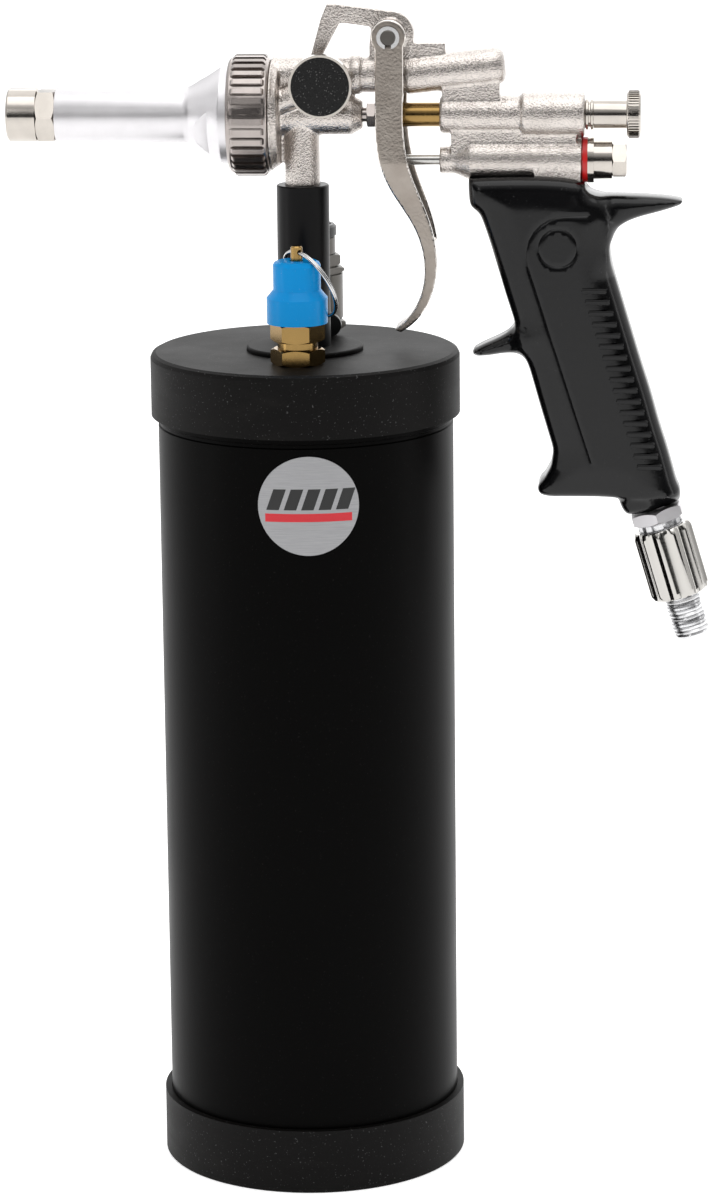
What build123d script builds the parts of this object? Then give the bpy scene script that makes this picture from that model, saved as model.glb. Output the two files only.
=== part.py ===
from build123d import *
import math
import os

# Bead seater blaster tank: a slim air tank with rubber end caps, a relief valve and a filling
# valve on its top head, and a trigger gun that screws onto the tank's riser. Millimetres, +Z up.
# The origin is the centre of the tank's bottom face. The gun lies in the XZ plane, with its
# nozzle towards -X and its handle towards +X. The relief valve is on the -Y side.

# ---- tank ----
TANK_R = 54.0
TANK_WALL = 3.0
TANK_HEIGHT = 299.5
HEAD_THICK = 10.0
BASE_THICK = 6.0
CAP_WALL = 2.5
CAP_FLOOR = 3.0
BOTTOM_CAP_HEIGHT = 24.0
TOP_CAP_HEIGHT = 23.0
CAP_GAP = 0.1
BEAD_GROOVE_DROP = 1.9
BEAD_GROOVE_WIDTH = 1.9
BEAD_GROOVE_DEPTH = 0.5
LABEL_R = 18.0
LABEL_THICK = 0.5
LABEL_DROP = 47.2
LABEL_TURN = 5.5
PORT_REACH = 30.0
PORT_THREAD_R = 6.5
PORT_THREAD_LENGTH = 9.0
FIT = 0.05

# ---- riser that carries the gun ----
RISER_R = 9.5
RISER_HEIGHT = 60.5
RISER_BORE_R = 4.5
RISER_THREAD_R = 8.0
RISER_FLANGE_R = 19.75
RISER_FLANGE_THICK = 1.8
SOCKET_DEPTH = 18.0
STEM_R = 6.35
STEM_GAP = 0.15
STEM_BORE_R = 4.0
STEM_SEAL_THICK = 1.5

# ---- relief valve ----
RELIEF_FLATS = 17.0
RELIEF_HEX_LOW = 5.8
RELIEF_NECK_R = 7.25
RELIEF_NECK = 2.6
RELIEF_HEX_HIGH = 6.6
RELIEF_BORE_R = 3.0
RELIEF_CHAMBER_R = 5.2
BONNET_TUBE_R = 6.8
BONNET_TUBE = 18.6
RELIEF_CAP_R = 10.95
RELIEF_CAP_TOP_WALL = 1.65
RELIEF_CAP_LOW = 9.1
RELIEF_CAP_CONE = 2.9
RELIEF_CAP_HIGH = 10.3
RELIEF_CAP_WALL = 1.6
RELIEF_CAP_EDGE = 1.5
RELIEF_STEM_R = 2.1
RELIEF_EYE_RISE = 3.2
RELIEF_EYE_HOLE_R = 1.0
RING_R = 13.6
RING_WIRE_R = 0.65
RING_LEAN = 62.7
RING_YAW = 38.4
RING_AT = -177.4

# ---- filling valve and quick coupling ----
FILL_BODY_R = 11.8
FILL_BODY_HEIGHT = 23.3
FILL_HEX_FLATS = 21.5
FILL_HEX_HEIGHT = 2.7
FILL_BALL_R = 7.0
FILL_PASSAGE_R = 3.2
FILL_SEAT_THICK = 2.2
FILL_STEM_R = 2.4
LEVER_REACH = 12.5
LEVER_THICK = 3.0
LEVER_DROP_ANGLE = 36.0
COUPLING_FLATS = 19.0
COUPLING_HEX = 4.6
COUPLING_TUBE_R = 7.6
COUPLING_TUBE = 9.4
COUPLING_BORE_R = 5.2
COUPLING_SLEEVE_WALL = 1.5
COUPLING_SLEEVE = 6.0
COUPLING_GUARD_WALL = 2.0
COUPLING_GUARD = 4.0

# ---- gun head ----
GUN_AXIS_ABOVE_RISER = 25.2
STEM_TO_TUBE = 14.4
SPIGOT_R = 18.6
SPIGOT_STEP = 1.9
SPIGOT_FRONT = -17.5
FLANGE_FRONT = -10.9
BARREL_R = 7.2
BARREL_END = 22.0
CHAMBER_R = 5.2
UPPER_TUBE_R = 6.4
UPPER_BORE_R = 4.0
UPPER_COLLAR_R = 7.0
REAR_TUBE_R = 6.8
REAR_TUBE_START = 38.0
REAR_TUBE_END = 73.4
REAR_TUBE_TILT = 6.0
HOOK_THICK = 7.0
LUG_R = 8.5
EAR_R = 6.3
PIVOT_X = 32.3
PIVOT_ABOVE_AXIS = 29.1
PIVOT_PIN_R = 2.75
CLIP_R = 4.1
CLIP_THICK = 0.8
NEEDLE_R = 1.4
SEAT_R = 8.0
SEAT_ORIFICE_R = 3.5
SEAT_THICK = 5.0
SEAT_REAR = -11.0
GLAND_THREAD_R = 2.65
GLAND_FLATS = 8.3
SLEEVE_GAP = 0.65
SLEEVE_NOSE_R = 3.0
SLEEVE_COLLAR_GAP = 0.15
HOUSING_FRONT = 49.9
HOUSING_STEP = 79.8
HOUSING_END = 102.0
HOUSING_R = 6.8
HOUSING_REAR_R = 8.1
HOUSING_BORE_R = 5.0
ADJUSTER_SHANK_R = 5.2
ADJUSTER_R = 8.6
ADJUSTER_THICK = 5.0
ADJUSTER_LENGTH = 20.1

# ---- nozzle ----
NOZZLE_R = 10.0
NOZZLE_BORE_R = 7.0
NOZZLE_FRONT = -89.0
NOZZLE_CONE_STEP = 0.9
NOZZLE_LIP_GAP = 0.3
TIP_R = 9.7
TIP_FLATS = 17.6
TIP_HEX = 7.0
TIP_ROUND = 10.6
TIP_SHANK_WALL = 1.0
GASKET_THICK = 1.0
RING_NUT_WALL = 3.3
RING_NUT_FRONT = -26.0
RING_NUT_LIP = 4.0

# ---- side knob ----
KNOB_X = 8.0
KNOB_ABOVE_AXIS = 12.0
KNOB_R = 11.3
KNOB_FRONT = -17.0
KNOB_THICK = 4.5
KNOB_BOSS_R = 7.6
KNOB_STEM_R = 3.0
KNOB_DISC_R = 10.5

# ---- trigger ----
TRIGGER_HALF_WIDTH = 13.8
TRIGGER_PLATE = 2.4
TRIGGER_WEB = 2.0
TRIGGER_TIP_HALF_WIDTH = 7.5

# ---- air valve under the needle housing ----
VALVE_BELOW_AXIS = 16.3
VALVE_FRONT = 49.8
VALVE_BOSS_R = 4.9
VALVE_R = 7.5
VALVE_END = 101.3
VALVE_ROD_R = 1.9
VALVE_CHAMBER_R = 3.9
VALVE_BORE_R = 6.0
VALVE_SEAT_X = 68.0
VALVE_SEAT_THICK = 3.0
WASHER_R = 8.1
WASHER_THICK = 1.8
GALLERY_X = 63.0
GALLERY_Y = 8.8
GALLERY_R = 4.2
GALLERY_BORE_R = 2.2

# ---- handle and air inlet ----
HANDLE_HALF_WIDTH = 12.0
HANDLE_EDGE = 5.5
SPUR_HALF_WIDTH = 8.0
SPUR_CLEARANCE = 4.9
INLET_TILT = 16.5
INLET_X = 127.7
INLET_BELOW_AXIS = 143.7
AIR_TUBE_R = 4.5
AIR_TUBE_BORE_R = 3.0
TONGUE_HALF_WIDTH = 7.0
COLLAR_FLATS = 18.2
COLLAR_THICK = 4.6
NECK_R = 8.2
NECK_LENGTH = 2.6
FLOW_SLEEVE_R = 11.0
FLOW_SLEEVE_LENGTH = 26.3
FLUTE_COUNT = 11
FLUTE_R = 2.6
FLUTE_DEPTH = 0.9
INLET_THREAD_R = 6.58
INLET_THREAD_LENGTH = 15.5
INLET_BORE_R = 4.0

# ---- derived sizes and places ----
CAP_R = TANK_R + CAP_WALL
RELIEF_CAP_TOP_R = BONNET_TUBE_R + CAP_GAP + RELIEF_CAP_TOP_WALL
COUPLING_SLEEVE_R = COUPLING_TUBE_R + COUPLING_SLEEVE_WALL
COUPLING_GUARD_R = COUPLING_TUBE_R + COUPLING_GUARD_WALL
FLANGE_R = SPIGOT_R + SPIGOT_STEP
RING_NUT_R = SPIGOT_R + RING_NUT_WALL
NOZZLE_LIP_R = SPIGOT_R - NOZZLE_LIP_GAP
NOZZLE_CONE_R = NOZZLE_LIP_R - NOZZLE_CONE_STEP
TIP_BORE_R = NOZZLE_BORE_R - TIP_SHANK_WALL
SLEEVE_R = HOUSING_BORE_R - SLEEVE_GAP
SLEEVE_COLLAR_R = HOUSING_BORE_R - SLEEVE_COLLAR_GAP
TANK_TOP = CAP_FLOOR + TANK_HEIGHT
DECK = TANK_TOP + CAP_FLOOR
RISER_TOP = DECK + RISER_HEIGHT
AXIS_Z = RISER_TOP + GUN_AXIS_ABOVE_RISER
TUBE_Z = AXIS_Z + STEM_TO_TUBE
PIVOT_Z = AXIS_Z + PIVOT_ABOVE_AXIS
VALVE_Z = AXIS_Z - VALVE_BELOW_AXIS
KNOB_Z = AXIS_Z + KNOB_ABOVE_AXIS
INLET_Z = AXIS_Z - INLET_BELOW_AXIS
SOCKET_FLOOR = RISER_TOP - SOCKET_DEPTH
STEM_END = SOCKET_FLOOR + STEM_SEAL_THICK
HEAD_BOTTOM = TANK_TOP - HEAD_THICK

RELIEF_Y = -PORT_REACH
RELIEF_HEX_2 = DECK + RELIEF_HEX_LOW + RELIEF_NECK
RELIEF_CAP_BASE = RELIEF_HEX_2 + RELIEF_HEX_HIGH
RELIEF_CAP_CONE_BASE = RELIEF_CAP_BASE + RELIEF_CAP_LOW
RELIEF_CAP_STEP = RELIEF_CAP_CONE_BASE + RELIEF_CAP_CONE
RELIEF_CAP_TOP = RELIEF_CAP_STEP + RELIEF_CAP_HIGH
RELIEF_SEAT_Z = DECK + RELIEF_HEX_LOW
BONNET_TOP = RELIEF_CAP_BASE + BONNET_TUBE
EYE_Z = RELIEF_CAP_TOP + RELIEF_EYE_RISE

FILL_Y = PORT_REACH
FILL_BALL_Z = DECK + 12.0
FILL_TOP = DECK + FILL_BODY_HEIGHT
COUPLING_BASE = FILL_TOP + FILL_HEX_HEIGHT
COUPLING_TUBE_BASE = COUPLING_BASE + COUPLING_HEX
COUPLING_TOP = COUPLING_TUBE_BASE + COUPLING_TUBE
LEVER_BACK = FILL_Y - FILL_BODY_R - 0.6


def upright(x=0.0, y=0.0):
    """A plane on the floor whose normal is +Z, for pieces that stand at x, y."""
    return Plane(origin=(x, y, 0), x_dir=(1, 0, 0), z_dir=(0, 0, 1))


def lengthwise(z):
    """A plane whose normal is +X, for pieces that lie along the gun at height z."""
    return Plane(origin=(0, 0, z), x_dir=(0, 1, 0), z_dir=(1, 0, 0))


def crosswise(x, z):
    """A plane whose normal is +Y, for pieces that cross the gun at x, z."""
    return Plane(origin=(x, 0, z), x_dir=(1, 0, 0), z_dir=(0, 1, 0))


def inlet_plane():
    """A plane at the handle's foot whose normal runs down along the air inlet."""
    tilt = math.radians(INLET_TILT)
    down = (math.sin(tilt), 0, -math.cos(tilt))
    return Plane(origin=(INLET_X, 0, INLET_Z), x_dir=(0, 1, 0), z_dir=down)


def turned(plane, outer, bore=()):
    """Revolve (height, radius) points about a plane's normal; bore points run the same way."""
    inner = bore or [(outer[0][0], 0), (outer[-1][0], 0)]
    points = [(radius, height) for height, radius in [*outer, *reversed(inner)]]
    face = Plane.XZ * make_face(Polyline(*points, close=True))
    return plane.location * revolve(face, axis=Axis.Z, revolution_arc=360)


def rod(plane, start, end, radius):
    """A plain round bar between two heights."""
    return turned(plane, [(start, radius), (end, radius)])


def ring(plane, start, end, outer_r, inner_r):
    """A plain round ring between two heights."""
    return turned(plane, [(start, outer_r), (end, outer_r)], [(start, inner_r), (end, inner_r)])


def hexagon(plane, start, end, flats):
    """A hexagon bar, with the usual 30 degree corner chamfers at both ends."""
    corner = flats / math.sqrt(3) + 0.01
    drop = (corner - flats / 2) * math.tan(math.radians(30))
    bar = extrude(RegularPolygon(flats / 2, 6, major_radius=False), amount=end - start)
    bar = plane.location * Location((0, 0, start)) * bar
    half = flats / 2
    return bar & turned(plane, [(start, half), (start + drop, corner), (end - drop, corner), (end, half)])


def coil(plane, start, end, mean_r, wire_r, turns):
    """A round wire compression spring between two heights."""
    pitch = (end - start - 2 * wire_r) / turns
    path = Helix(pitch, pitch * turns, mean_r)
    wire = sweep(Plane(path @ 0, z_dir=path % 0) * Circle(wire_r), path, is_frenet=True)
    return plane.location * Location((0, 0, start + wire_r)) * wire


def slab(outline, half_width, middle=0.0):
    """Extrude a closed (x, z) outline both ways from y = middle."""
    plane = Plane(origin=(0, middle, 0), x_dir=(1, 0, 0), z_dir=(0, -1, 0))
    return extrude(plane * outline, amount=half_width, both=True)


def outline_of(points):
    """A straight-sided face from (x, z) points."""
    return make_face(Polyline(*points, close=True))


def block(x0, x1, y0, y1, z0, z1):
    """A plain box between two corners."""
    middle = ((x0 + x1) / 2, (y0 + y1) / 2, (z0 + z1) / 2)
    return Location(middle) * Box(x1 - x0, y1 - y0, z1 - z0)


# ---- tank ----


def tank_tube():
    groove_top = DECK - TOP_CAP_HEIGHT - BEAD_GROOVE_DROP
    groove_base = groove_top - BEAD_GROOVE_WIDTH
    groove_r = TANK_R - BEAD_GROOVE_DEPTH
    outer = [
        (CAP_FLOOR, TANK_R),
        (groove_base, TANK_R),
        (groove_base + 0.4, groove_r),
        (groove_top - 0.4, groove_r),
        (groove_top, TANK_R),
        (TANK_TOP, TANK_R),
    ]
    inner_r = TANK_R - TANK_WALL
    return turned(upright(), outer, [(CAP_FLOOR, inner_r), (TANK_TOP, inner_r)])


def tank_top_head():
    head = rod(upright(), HEAD_BOTTOM, TANK_TOP, TANK_R - TANK_WALL)
    head -= rod(upright(), HEAD_BOTTOM - 1, TANK_TOP + 1, RISER_THREAD_R)
    for y in (RELIEF_Y, FILL_Y):
        head -= rod(upright(0, y), HEAD_BOTTOM - 1, TANK_TOP + 1, PORT_THREAD_R)
    return head


def tank_bottom_head():
    return rod(upright(), CAP_FLOOR, CAP_FLOOR + BASE_THICK, TANK_R - TANK_WALL)


def top_cap():
    skirt = DECK - TOP_CAP_HEIGHT
    edge = 2.0
    outer = [(skirt, CAP_R), (DECK - edge, CAP_R), (DECK - edge / 3, CAP_R - edge / 3)]
    outer.append((DECK, CAP_R - edge))
    inner_r = TANK_R + CAP_GAP
    inside = [(skirt, inner_r), (TANK_TOP, inner_r), (TANK_TOP, 0), (DECK, 0)]
    cap = turned(upright(), outer, inside)
    cap -= rod(upright(), TANK_TOP - 1, DECK + 1, RISER_THREAD_R + 1)
    for y in (RELIEF_Y, FILL_Y):
        cap -= rod(upright(0, y), TANK_TOP - 1, DECK + 1, PORT_THREAD_R + 0.5)
    return cap


def bottom_cap():
    inner_r = TANK_R + CAP_GAP
    outer = [(0, CAP_R - 0.5), (0.5, CAP_R), (BOTTOM_CAP_HEIGHT, CAP_R)]
    inside = [(0, 0), (CAP_FLOOR, 0), (CAP_FLOOR, inner_r), (BOTTOM_CAP_HEIGHT, inner_r)]
    return turned(upright(), outer, inside)


def label_plate():
    """A round plate bent to the tank's wall, a little to one side of the front."""
    centre_z = DECK - LABEL_DROP
    shell = ring(upright(), centre_z - LABEL_R, centre_z + LABEL_R, TANK_R + LABEL_THICK, TANK_R)
    angle = math.radians(LABEL_TURN)
    outwards = (math.sin(angle), -math.cos(angle), 0)
    facing = Plane(origin=(0, 0, centre_z), x_dir=(0, 0, 1), z_dir=outwards)
    return shell & rod(facing, TANK_R / 2, TANK_R + 2, LABEL_R)


def riser_flange():
    return ring(upright(), DECK, DECK + RISER_FLANGE_THICK, RISER_FLANGE_R, RISER_THREAD_R + FIT)


def riser_pipe():
    shoulder = DECK + RISER_FLANGE_THICK
    outer = [
        (HEAD_BOTTOM, RISER_THREAD_R),
        (shoulder, RISER_THREAD_R),
        (shoulder, RISER_R),
        (RISER_TOP - 0.4, RISER_R),
        (RISER_TOP, RISER_R - 0.4),
    ]
    socket_r = STEM_R + STEM_GAP
    inside = [
        (HEAD_BOTTOM, RISER_BORE_R),
        (SOCKET_FLOOR, RISER_BORE_R),
        (SOCKET_FLOOR, socket_r),
        (RISER_TOP, socket_r),
    ]
    return turned(upright(), outer, inside)


def stem_seal():
    return ring(upright(), SOCKET_FLOOR, STEM_END, STEM_R, STEM_BORE_R)


# ---- relief valve ----


def relief_body():
    plane = upright(0, RELIEF_Y)
    body = rod(plane, DECK - PORT_THREAD_LENGTH, DECK, PORT_THREAD_R)
    body += hexagon(plane, DECK, RELIEF_SEAT_Z, RELIEF_FLATS)
    body += rod(plane, RELIEF_SEAT_Z, RELIEF_HEX_2, RELIEF_NECK_R)
    body -= rod(plane, DECK - PORT_THREAD_LENGTH - 1, RELIEF_HEX_2 + 1, RELIEF_BORE_R)
    return body - rod(plane, RELIEF_SEAT_Z, RELIEF_HEX_2 + 1, RELIEF_CHAMBER_R)


def relief_bonnet():
    plane = upright(0, RELIEF_Y)
    bonnet = hexagon(plane, RELIEF_HEX_2, RELIEF_CAP_BASE, RELIEF_FLATS)
    bonnet += rod(plane, RELIEF_CAP_BASE, BONNET_TOP, BONNET_TUBE_R)
    bonnet -= rod(plane, RELIEF_HEX_2 - 1, BONNET_TOP - 2, RELIEF_CHAMBER_R)
    return bonnet - rod(plane, BONNET_TOP - 3, BONNET_TOP + 1, RELIEF_STEM_R + FIT)


def relief_cap():
    wall = RELIEF_CAP_WALL
    edge = RELIEF_CAP_EDGE
    outer = [
        (RELIEF_CAP_BASE, RELIEF_CAP_R),
        (RELIEF_CAP_CONE_BASE, RELIEF_CAP_R),
        (RELIEF_CAP_STEP, RELIEF_CAP_TOP_R),
        (RELIEF_CAP_TOP - edge, RELIEF_CAP_TOP_R),
        (RELIEF_CAP_TOP - edge / 3, RELIEF_CAP_TOP_R - edge / 3),
        (RELIEF_CAP_TOP, RELIEF_CAP_TOP_R - edge),
    ]
    inside = [
        (RELIEF_CAP_BASE, RELIEF_CAP_R - wall),
        (RELIEF_CAP_CONE_BASE - wall, RELIEF_CAP_R - wall),
        (RELIEF_CAP_STEP - wall, BONNET_TUBE_R + CAP_GAP),
        (BONNET_TOP, BONNET_TUBE_R + CAP_GAP),
        (BONNET_TOP, RELIEF_STEM_R + 0.4),
        (RELIEF_CAP_TOP, RELIEF_STEM_R + 0.4),
    ]
    return turned(upright(0, RELIEF_Y), outer, inside)


def relief_seal():
    return rod(upright(0, RELIEF_Y), RELIEF_SEAT_Z + 0.05, RELIEF_SEAT_Z + 1.55, RELIEF_BORE_R + 1.2)


def relief_stem():
    plane = upright(0, RELIEF_Y)
    foot = RELIEF_SEAT_Z + 1.55
    top = EYE_Z + RELIEF_STEM_R
    stem = turned(
        plane,
        [
            (foot, RELIEF_BORE_R + 1.2),
            (foot + 2, RELIEF_BORE_R + 1.2),
            (foot + 2, RELIEF_STEM_R),
            (top - 0.5, RELIEF_STEM_R),
            (top, RELIEF_STEM_R - 0.5),
        ],
    )
    hole = Plane(origin=(0, RELIEF_Y, EYE_Z), x_dir=(0, 1, 0), z_dir=ring_tangent())
    return stem - rod(hole, -2 * RELIEF_STEM_R, 2 * RELIEF_STEM_R, RELIEF_EYE_HOLE_R)


def relief_spring():
    start = RELIEF_SEAT_Z + 3.6
    return coil(upright(0, RELIEF_Y), start, BONNET_TOP - 2.05, RELIEF_CHAMBER_R - 1.3, 0.6, 7)


def ring_axes():
    """The ring's two in-plane directions: down its slope, and level."""
    lean = math.radians(RING_LEAN)
    yaw = math.radians(RING_YAW)
    slope = Vector(math.cos(lean) * math.cos(yaw), math.cos(lean) * math.sin(yaw), -math.sin(lean))
    level = Vector(-math.sin(yaw), math.cos(yaw), 0)
    return slope, level


def ring_tangent():
    """The direction of the ring's wire where it passes through the stem's eye."""
    slope, level = ring_axes()
    at = math.radians(RING_AT)
    return slope * -math.sin(at) + level * math.cos(at)


def pull_ring():
    slope, level = ring_axes()
    at = math.radians(RING_AT)
    eye = Vector(0, RELIEF_Y, EYE_Z)
    centre = eye - (slope * math.cos(at) + level * math.sin(at)) * RING_R
    plane = Plane(origin=centre, x_dir=slope, z_dir=slope.cross(level))
    return plane.location * Torus(RING_R, RING_WIRE_R)


# ---- filling valve and quick coupling ----


def fill_valve_body():
    plane = upright(0, FILL_Y)
    body = rod(plane, DECK - PORT_THREAD_LENGTH, DECK, PORT_THREAD_R)
    body += rod(plane, DECK, DECK + 2.5, FILL_BODY_R - 2.5)
    body += hexagon(plane, DECK + 2.5, DECK + 6.0, 2 * FILL_BODY_R - 1.5)
    body += turned(plane, [(DECK + 5.0, 10.2), (DECK + 7.0, FILL_BODY_R), (FILL_TOP, FILL_BODY_R)])
    body += hexagon(plane, FILL_TOP, COUPLING_BASE, FILL_HEX_FLATS)
    across = crosswise(0, FILL_BALL_Z)
    body += rod(across, LEVER_BACK, FILL_Y, 5.5)
    cavity_low = FILL_BALL_Z - FILL_BALL_R - FILL_SEAT_THICK
    body -= rod(plane, DECK - PORT_THREAD_LENGTH - 1, cavity_low + 1, FILL_PASSAGE_R)
    body -= rod(plane, cavity_low, COUPLING_BASE + 1, FILL_BALL_R + 0.4)
    return body - rod(across, LEVER_BACK - 1, FILL_Y, FILL_STEM_R + FIT)


def fill_valve_seats():
    """Two ring seats, dished to the ball, above and below it."""
    plane = upright(0, FILL_Y)
    low = FILL_BALL_Z - FILL_BALL_R - FILL_SEAT_THICK
    high = FILL_BALL_Z + FILL_BALL_R + FILL_SEAT_THICK
    ball = Location((0, FILL_Y, FILL_BALL_Z)) * Sphere(FILL_BALL_R + FIT)
    seats = []
    for start in (low, high - 2 * FILL_SEAT_THICK):
        seat = ring(plane, start, start + 2 * FILL_SEAT_THICK, FILL_BALL_R + 0.35, FILL_PASSAGE_R)
        seats.append(seat - ball)
    return Compound(children=[seat.solids()[0] for seat in seats])


def fill_valve_ball():
    ball = Location((0, FILL_Y, FILL_BALL_Z)) * Sphere(FILL_BALL_R)
    ball -= rod(upright(0, FILL_Y), FILL_BALL_Z - 10, FILL_BALL_Z + 10, FILL_PASSAGE_R)
    slot_y = FILL_Y - FILL_BALL_R
    return ball - block(-1.0, 1.0, slot_y - 1, slot_y + 1.8, FILL_BALL_Z - 8, FILL_BALL_Z + 8)


def fill_valve_stem():
    across = crosswise(0, FILL_BALL_Z)
    slot_y = FILL_Y - FILL_BALL_R
    stem = rod(across, LEVER_BACK - LEVER_THICK, slot_y - FIT, FILL_STEM_R)
    stem += block(-0.95, 0.95, slot_y - 1, slot_y + 1.6, FILL_BALL_Z - 2, FILL_BALL_Z + 2)
    return stem - rod(across, LEVER_BACK - LEVER_THICK - 1, LEVER_BACK + 1, 1.25)


def lever_frame():
    """A plane on the lever's back face, its normal towards -Y and its x along the lever."""
    drop = math.radians(LEVER_DROP_ANGLE)
    along = (math.cos(drop), 0, -math.sin(drop))
    return Plane(origin=(0, LEVER_BACK - FIT, FILL_BALL_Z), x_dir=along, z_dir=(0, -1, 0))


def fill_valve_lever():
    hub = Circle(4.6)
    arm = make_hull([*Circle(3.2).edges(), *(Location((LEVER_REACH - 2.6, 0)) * Circle(4.2)).edges()])
    lever = extrude(lever_frame() * (hub + arm), amount=LEVER_THICK)
    across = crosswise(0, FILL_BALL_Z)
    return lever - rod(across, LEVER_BACK - LEVER_THICK - 1, LEVER_BACK + 1, FILL_STEM_R + 0.02)


def fill_lever_screw():
    across = crosswise(0, FILL_BALL_Z)
    face = LEVER_BACK - FIT - LEVER_THICK
    return rod(across, face - 1.6, face, 2.9) + rod(across, face, LEVER_BACK + 0.9, 1.2)


def fill_coupling_body():
    plane = upright(0, FILL_Y)
    seat_top = FILL_BALL_Z + FILL_BALL_R + FILL_SEAT_THICK
    body = rod(plane, seat_top, COUPLING_BASE, FILL_BALL_R + 0.35)
    body += hexagon(plane, COUPLING_BASE, COUPLING_TUBE_BASE, COUPLING_FLATS)
    body += rod(plane, COUPLING_TUBE_BASE, COUPLING_TOP, COUPLING_TUBE_R)
    body -= rod(plane, seat_top - 1, COUPLING_TOP + 1, FILL_PASSAGE_R)
    return body - rod(plane, COUPLING_BASE + 2, COUPLING_TOP + 1, COUPLING_BORE_R)


def fill_poppet():
    plane = upright(0, FILL_Y)
    top = COUPLING_TOP - 3.0
    wide = COUPLING_BORE_R - 0.3
    outer = [(top - 4.5, 2.0), (top - 2.5, 2.0), (top - 2.5, wide), (top - 0.8, wide), (top, wide - 0.8)]
    return turned(plane, outer)


def fill_poppet_spring():
    mean_r = COUPLING_BORE_R - 1.3
    return coil(upright(0, FILL_Y), COUPLING_BASE + 2.05, COUPLING_TOP - 5.6, mean_r, 0.5, 3)


def fill_coupling_sleeve():
    plane = upright(0, FILL_Y)
    start = COUPLING_TUBE_BASE + 0.2
    return ring(plane, start, start + COUPLING_SLEEVE, COUPLING_SLEEVE_R, COUPLING_TUBE_R + FIT)


def fill_coupling_guard():
    plane = upright(0, FILL_Y)
    start = COUPLING_TUBE_BASE + 0.2 + COUPLING_SLEEVE
    top = start + 0.8 + COUPLING_GUARD
    outer = [
        (start, COUPLING_GUARD_R - 1.1),
        (start + 0.8, COUPLING_GUARD_R - 1.1),
        (start + 0.8, COUPLING_GUARD_R),
        (top - 0.8, COUPLING_GUARD_R),
        (top, COUPLING_GUARD_R - 0.8),
    ]
    bore = COUPLING_TUBE_R + FIT
    return turned(plane, outer, [(start, bore), (top, bore)])


# ---- gun head and castings ----


def rear_tube_plane():
    """A plane at the start of the tilted rear tube, its normal along the tube."""
    tilt = math.radians(REAR_TUBE_TILT)
    along = (math.cos(tilt), 0, math.sin(tilt))
    return Plane(origin=(REAR_TUBE_START, 0, TUBE_Z - 0.3), x_dir=(0, 1, 0), z_dir=along)


def hook():
    """The hanging hook and pivot lug, one plate that rises from the upper tube."""
    outer = [
        (1.0, 12.0),
        (7.4, 26.0 + 8.7),
        (9.6, 40.0),
        (12.5, 40.0),
        (PIVOT_X + 2.2, PIVOT_ABOVE_AXIS + LUG_R - 0.3),
        (PIVOT_X + 7.5, PIVOT_ABOVE_AXIS - 4.0),
        (PIVOT_X + 7.5, 14.0),
        (20.0, 14.0),
    ]
    window = [
        (6.0, 18.0),
        (14.2, 33.3),
        (16.4, 33.1),
        (25.5, 31.9),
        (PIVOT_X - LUG_R + 1.0, PIVOT_ABOVE_AXIS - 4.0),
        (PIVOT_X - LUG_R + 1.0, 18.0),
    ]
    plate = outline_of([(x, AXIS_Z + z) for x, z in outer])
    plate += Location((PIVOT_X, PIVOT_Z)) * Circle(LUG_R)
    plate -= outline_of([(x, AXIS_Z + z) for x, z in window])
    return slab(plate, HOOK_THICK / 2)


def head_casting():
    """Flange, spigot, needle barrel and stem, with the ribs between them."""
    axis = lengthwise(AXIS_Z)
    casting = turned(
        axis,
        [
            (SPIGOT_FRONT, SPIGOT_R),
            (FLANGE_FRONT, SPIGOT_R),
            (FLANGE_FRONT, FLANGE_R),
            (FLANGE_FRONT + 1.3, FLANGE_R - 1.5),
            (FLANGE_FRONT + 3.2, FLANGE_R - 2.5),
            (FLANGE_FRONT + 3.2, BARREL_R),
            (BARREL_END - 4, BARREL_R),
            (BARREL_END, BARREL_R - 2.2),
        ],
    )
    casting += rod(upright(), STEM_END, AXIS_Z, STEM_R)
    casting += block(-9.5, 0, -2.0, 2.0, AXIS_Z - 17.0, AXIS_Z)
    casting += block(-8.5, 17.0, -3.5, 3.5, AXIS_Z, TUBE_Z)
    rib = Plane(origin=(-9, -6.5, AXIS_Z + 4.8), x_dir=(0, 1, 0), z_dir=(17, 0, 7))
    casting += rod(rib, 0, 16, 4.4)
    casting += rod(crosswise(KNOB_X, KNOB_Z), KNOB_FRONT + KNOB_THICK + 0.3, 0, KNOB_BOSS_R)
    return casting


def upper_casting():
    """The upper air tube with its collar, tilted rear length, lug boss and top pad."""
    axis = lengthwise(TUBE_Z)
    casting = rod(axis, -10, REAR_TUBE_START + 3, UPPER_TUBE_R)
    casting += rod(axis, 18.4, 21.4, UPPER_COLLAR_R)
    length = (REAR_TUBE_END - REAR_TUBE_START) / math.cos(math.radians(REAR_TUBE_TILT))
    rear = [
        (0, REAR_TUBE_R),
        (length - 3, REAR_TUBE_R),
        (length - 0.9, REAR_TUBE_R - 0.9),
        (length, REAR_TUBE_R - 3),
    ]
    casting += turned(rear_tube_plane(), rear)
    half = TRIGGER_HALF_WIDTH - TRIGGER_PLATE - 0.35
    casting += rod(crosswise(PIVOT_X, PIVOT_Z), -half, half, EAR_R - 0.6)
    casting += block(40.0, 52.0, -3.2, 3.2, TUBE_Z + 2, TUBE_Z + 11.6)
    return casting + hook()


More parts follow.
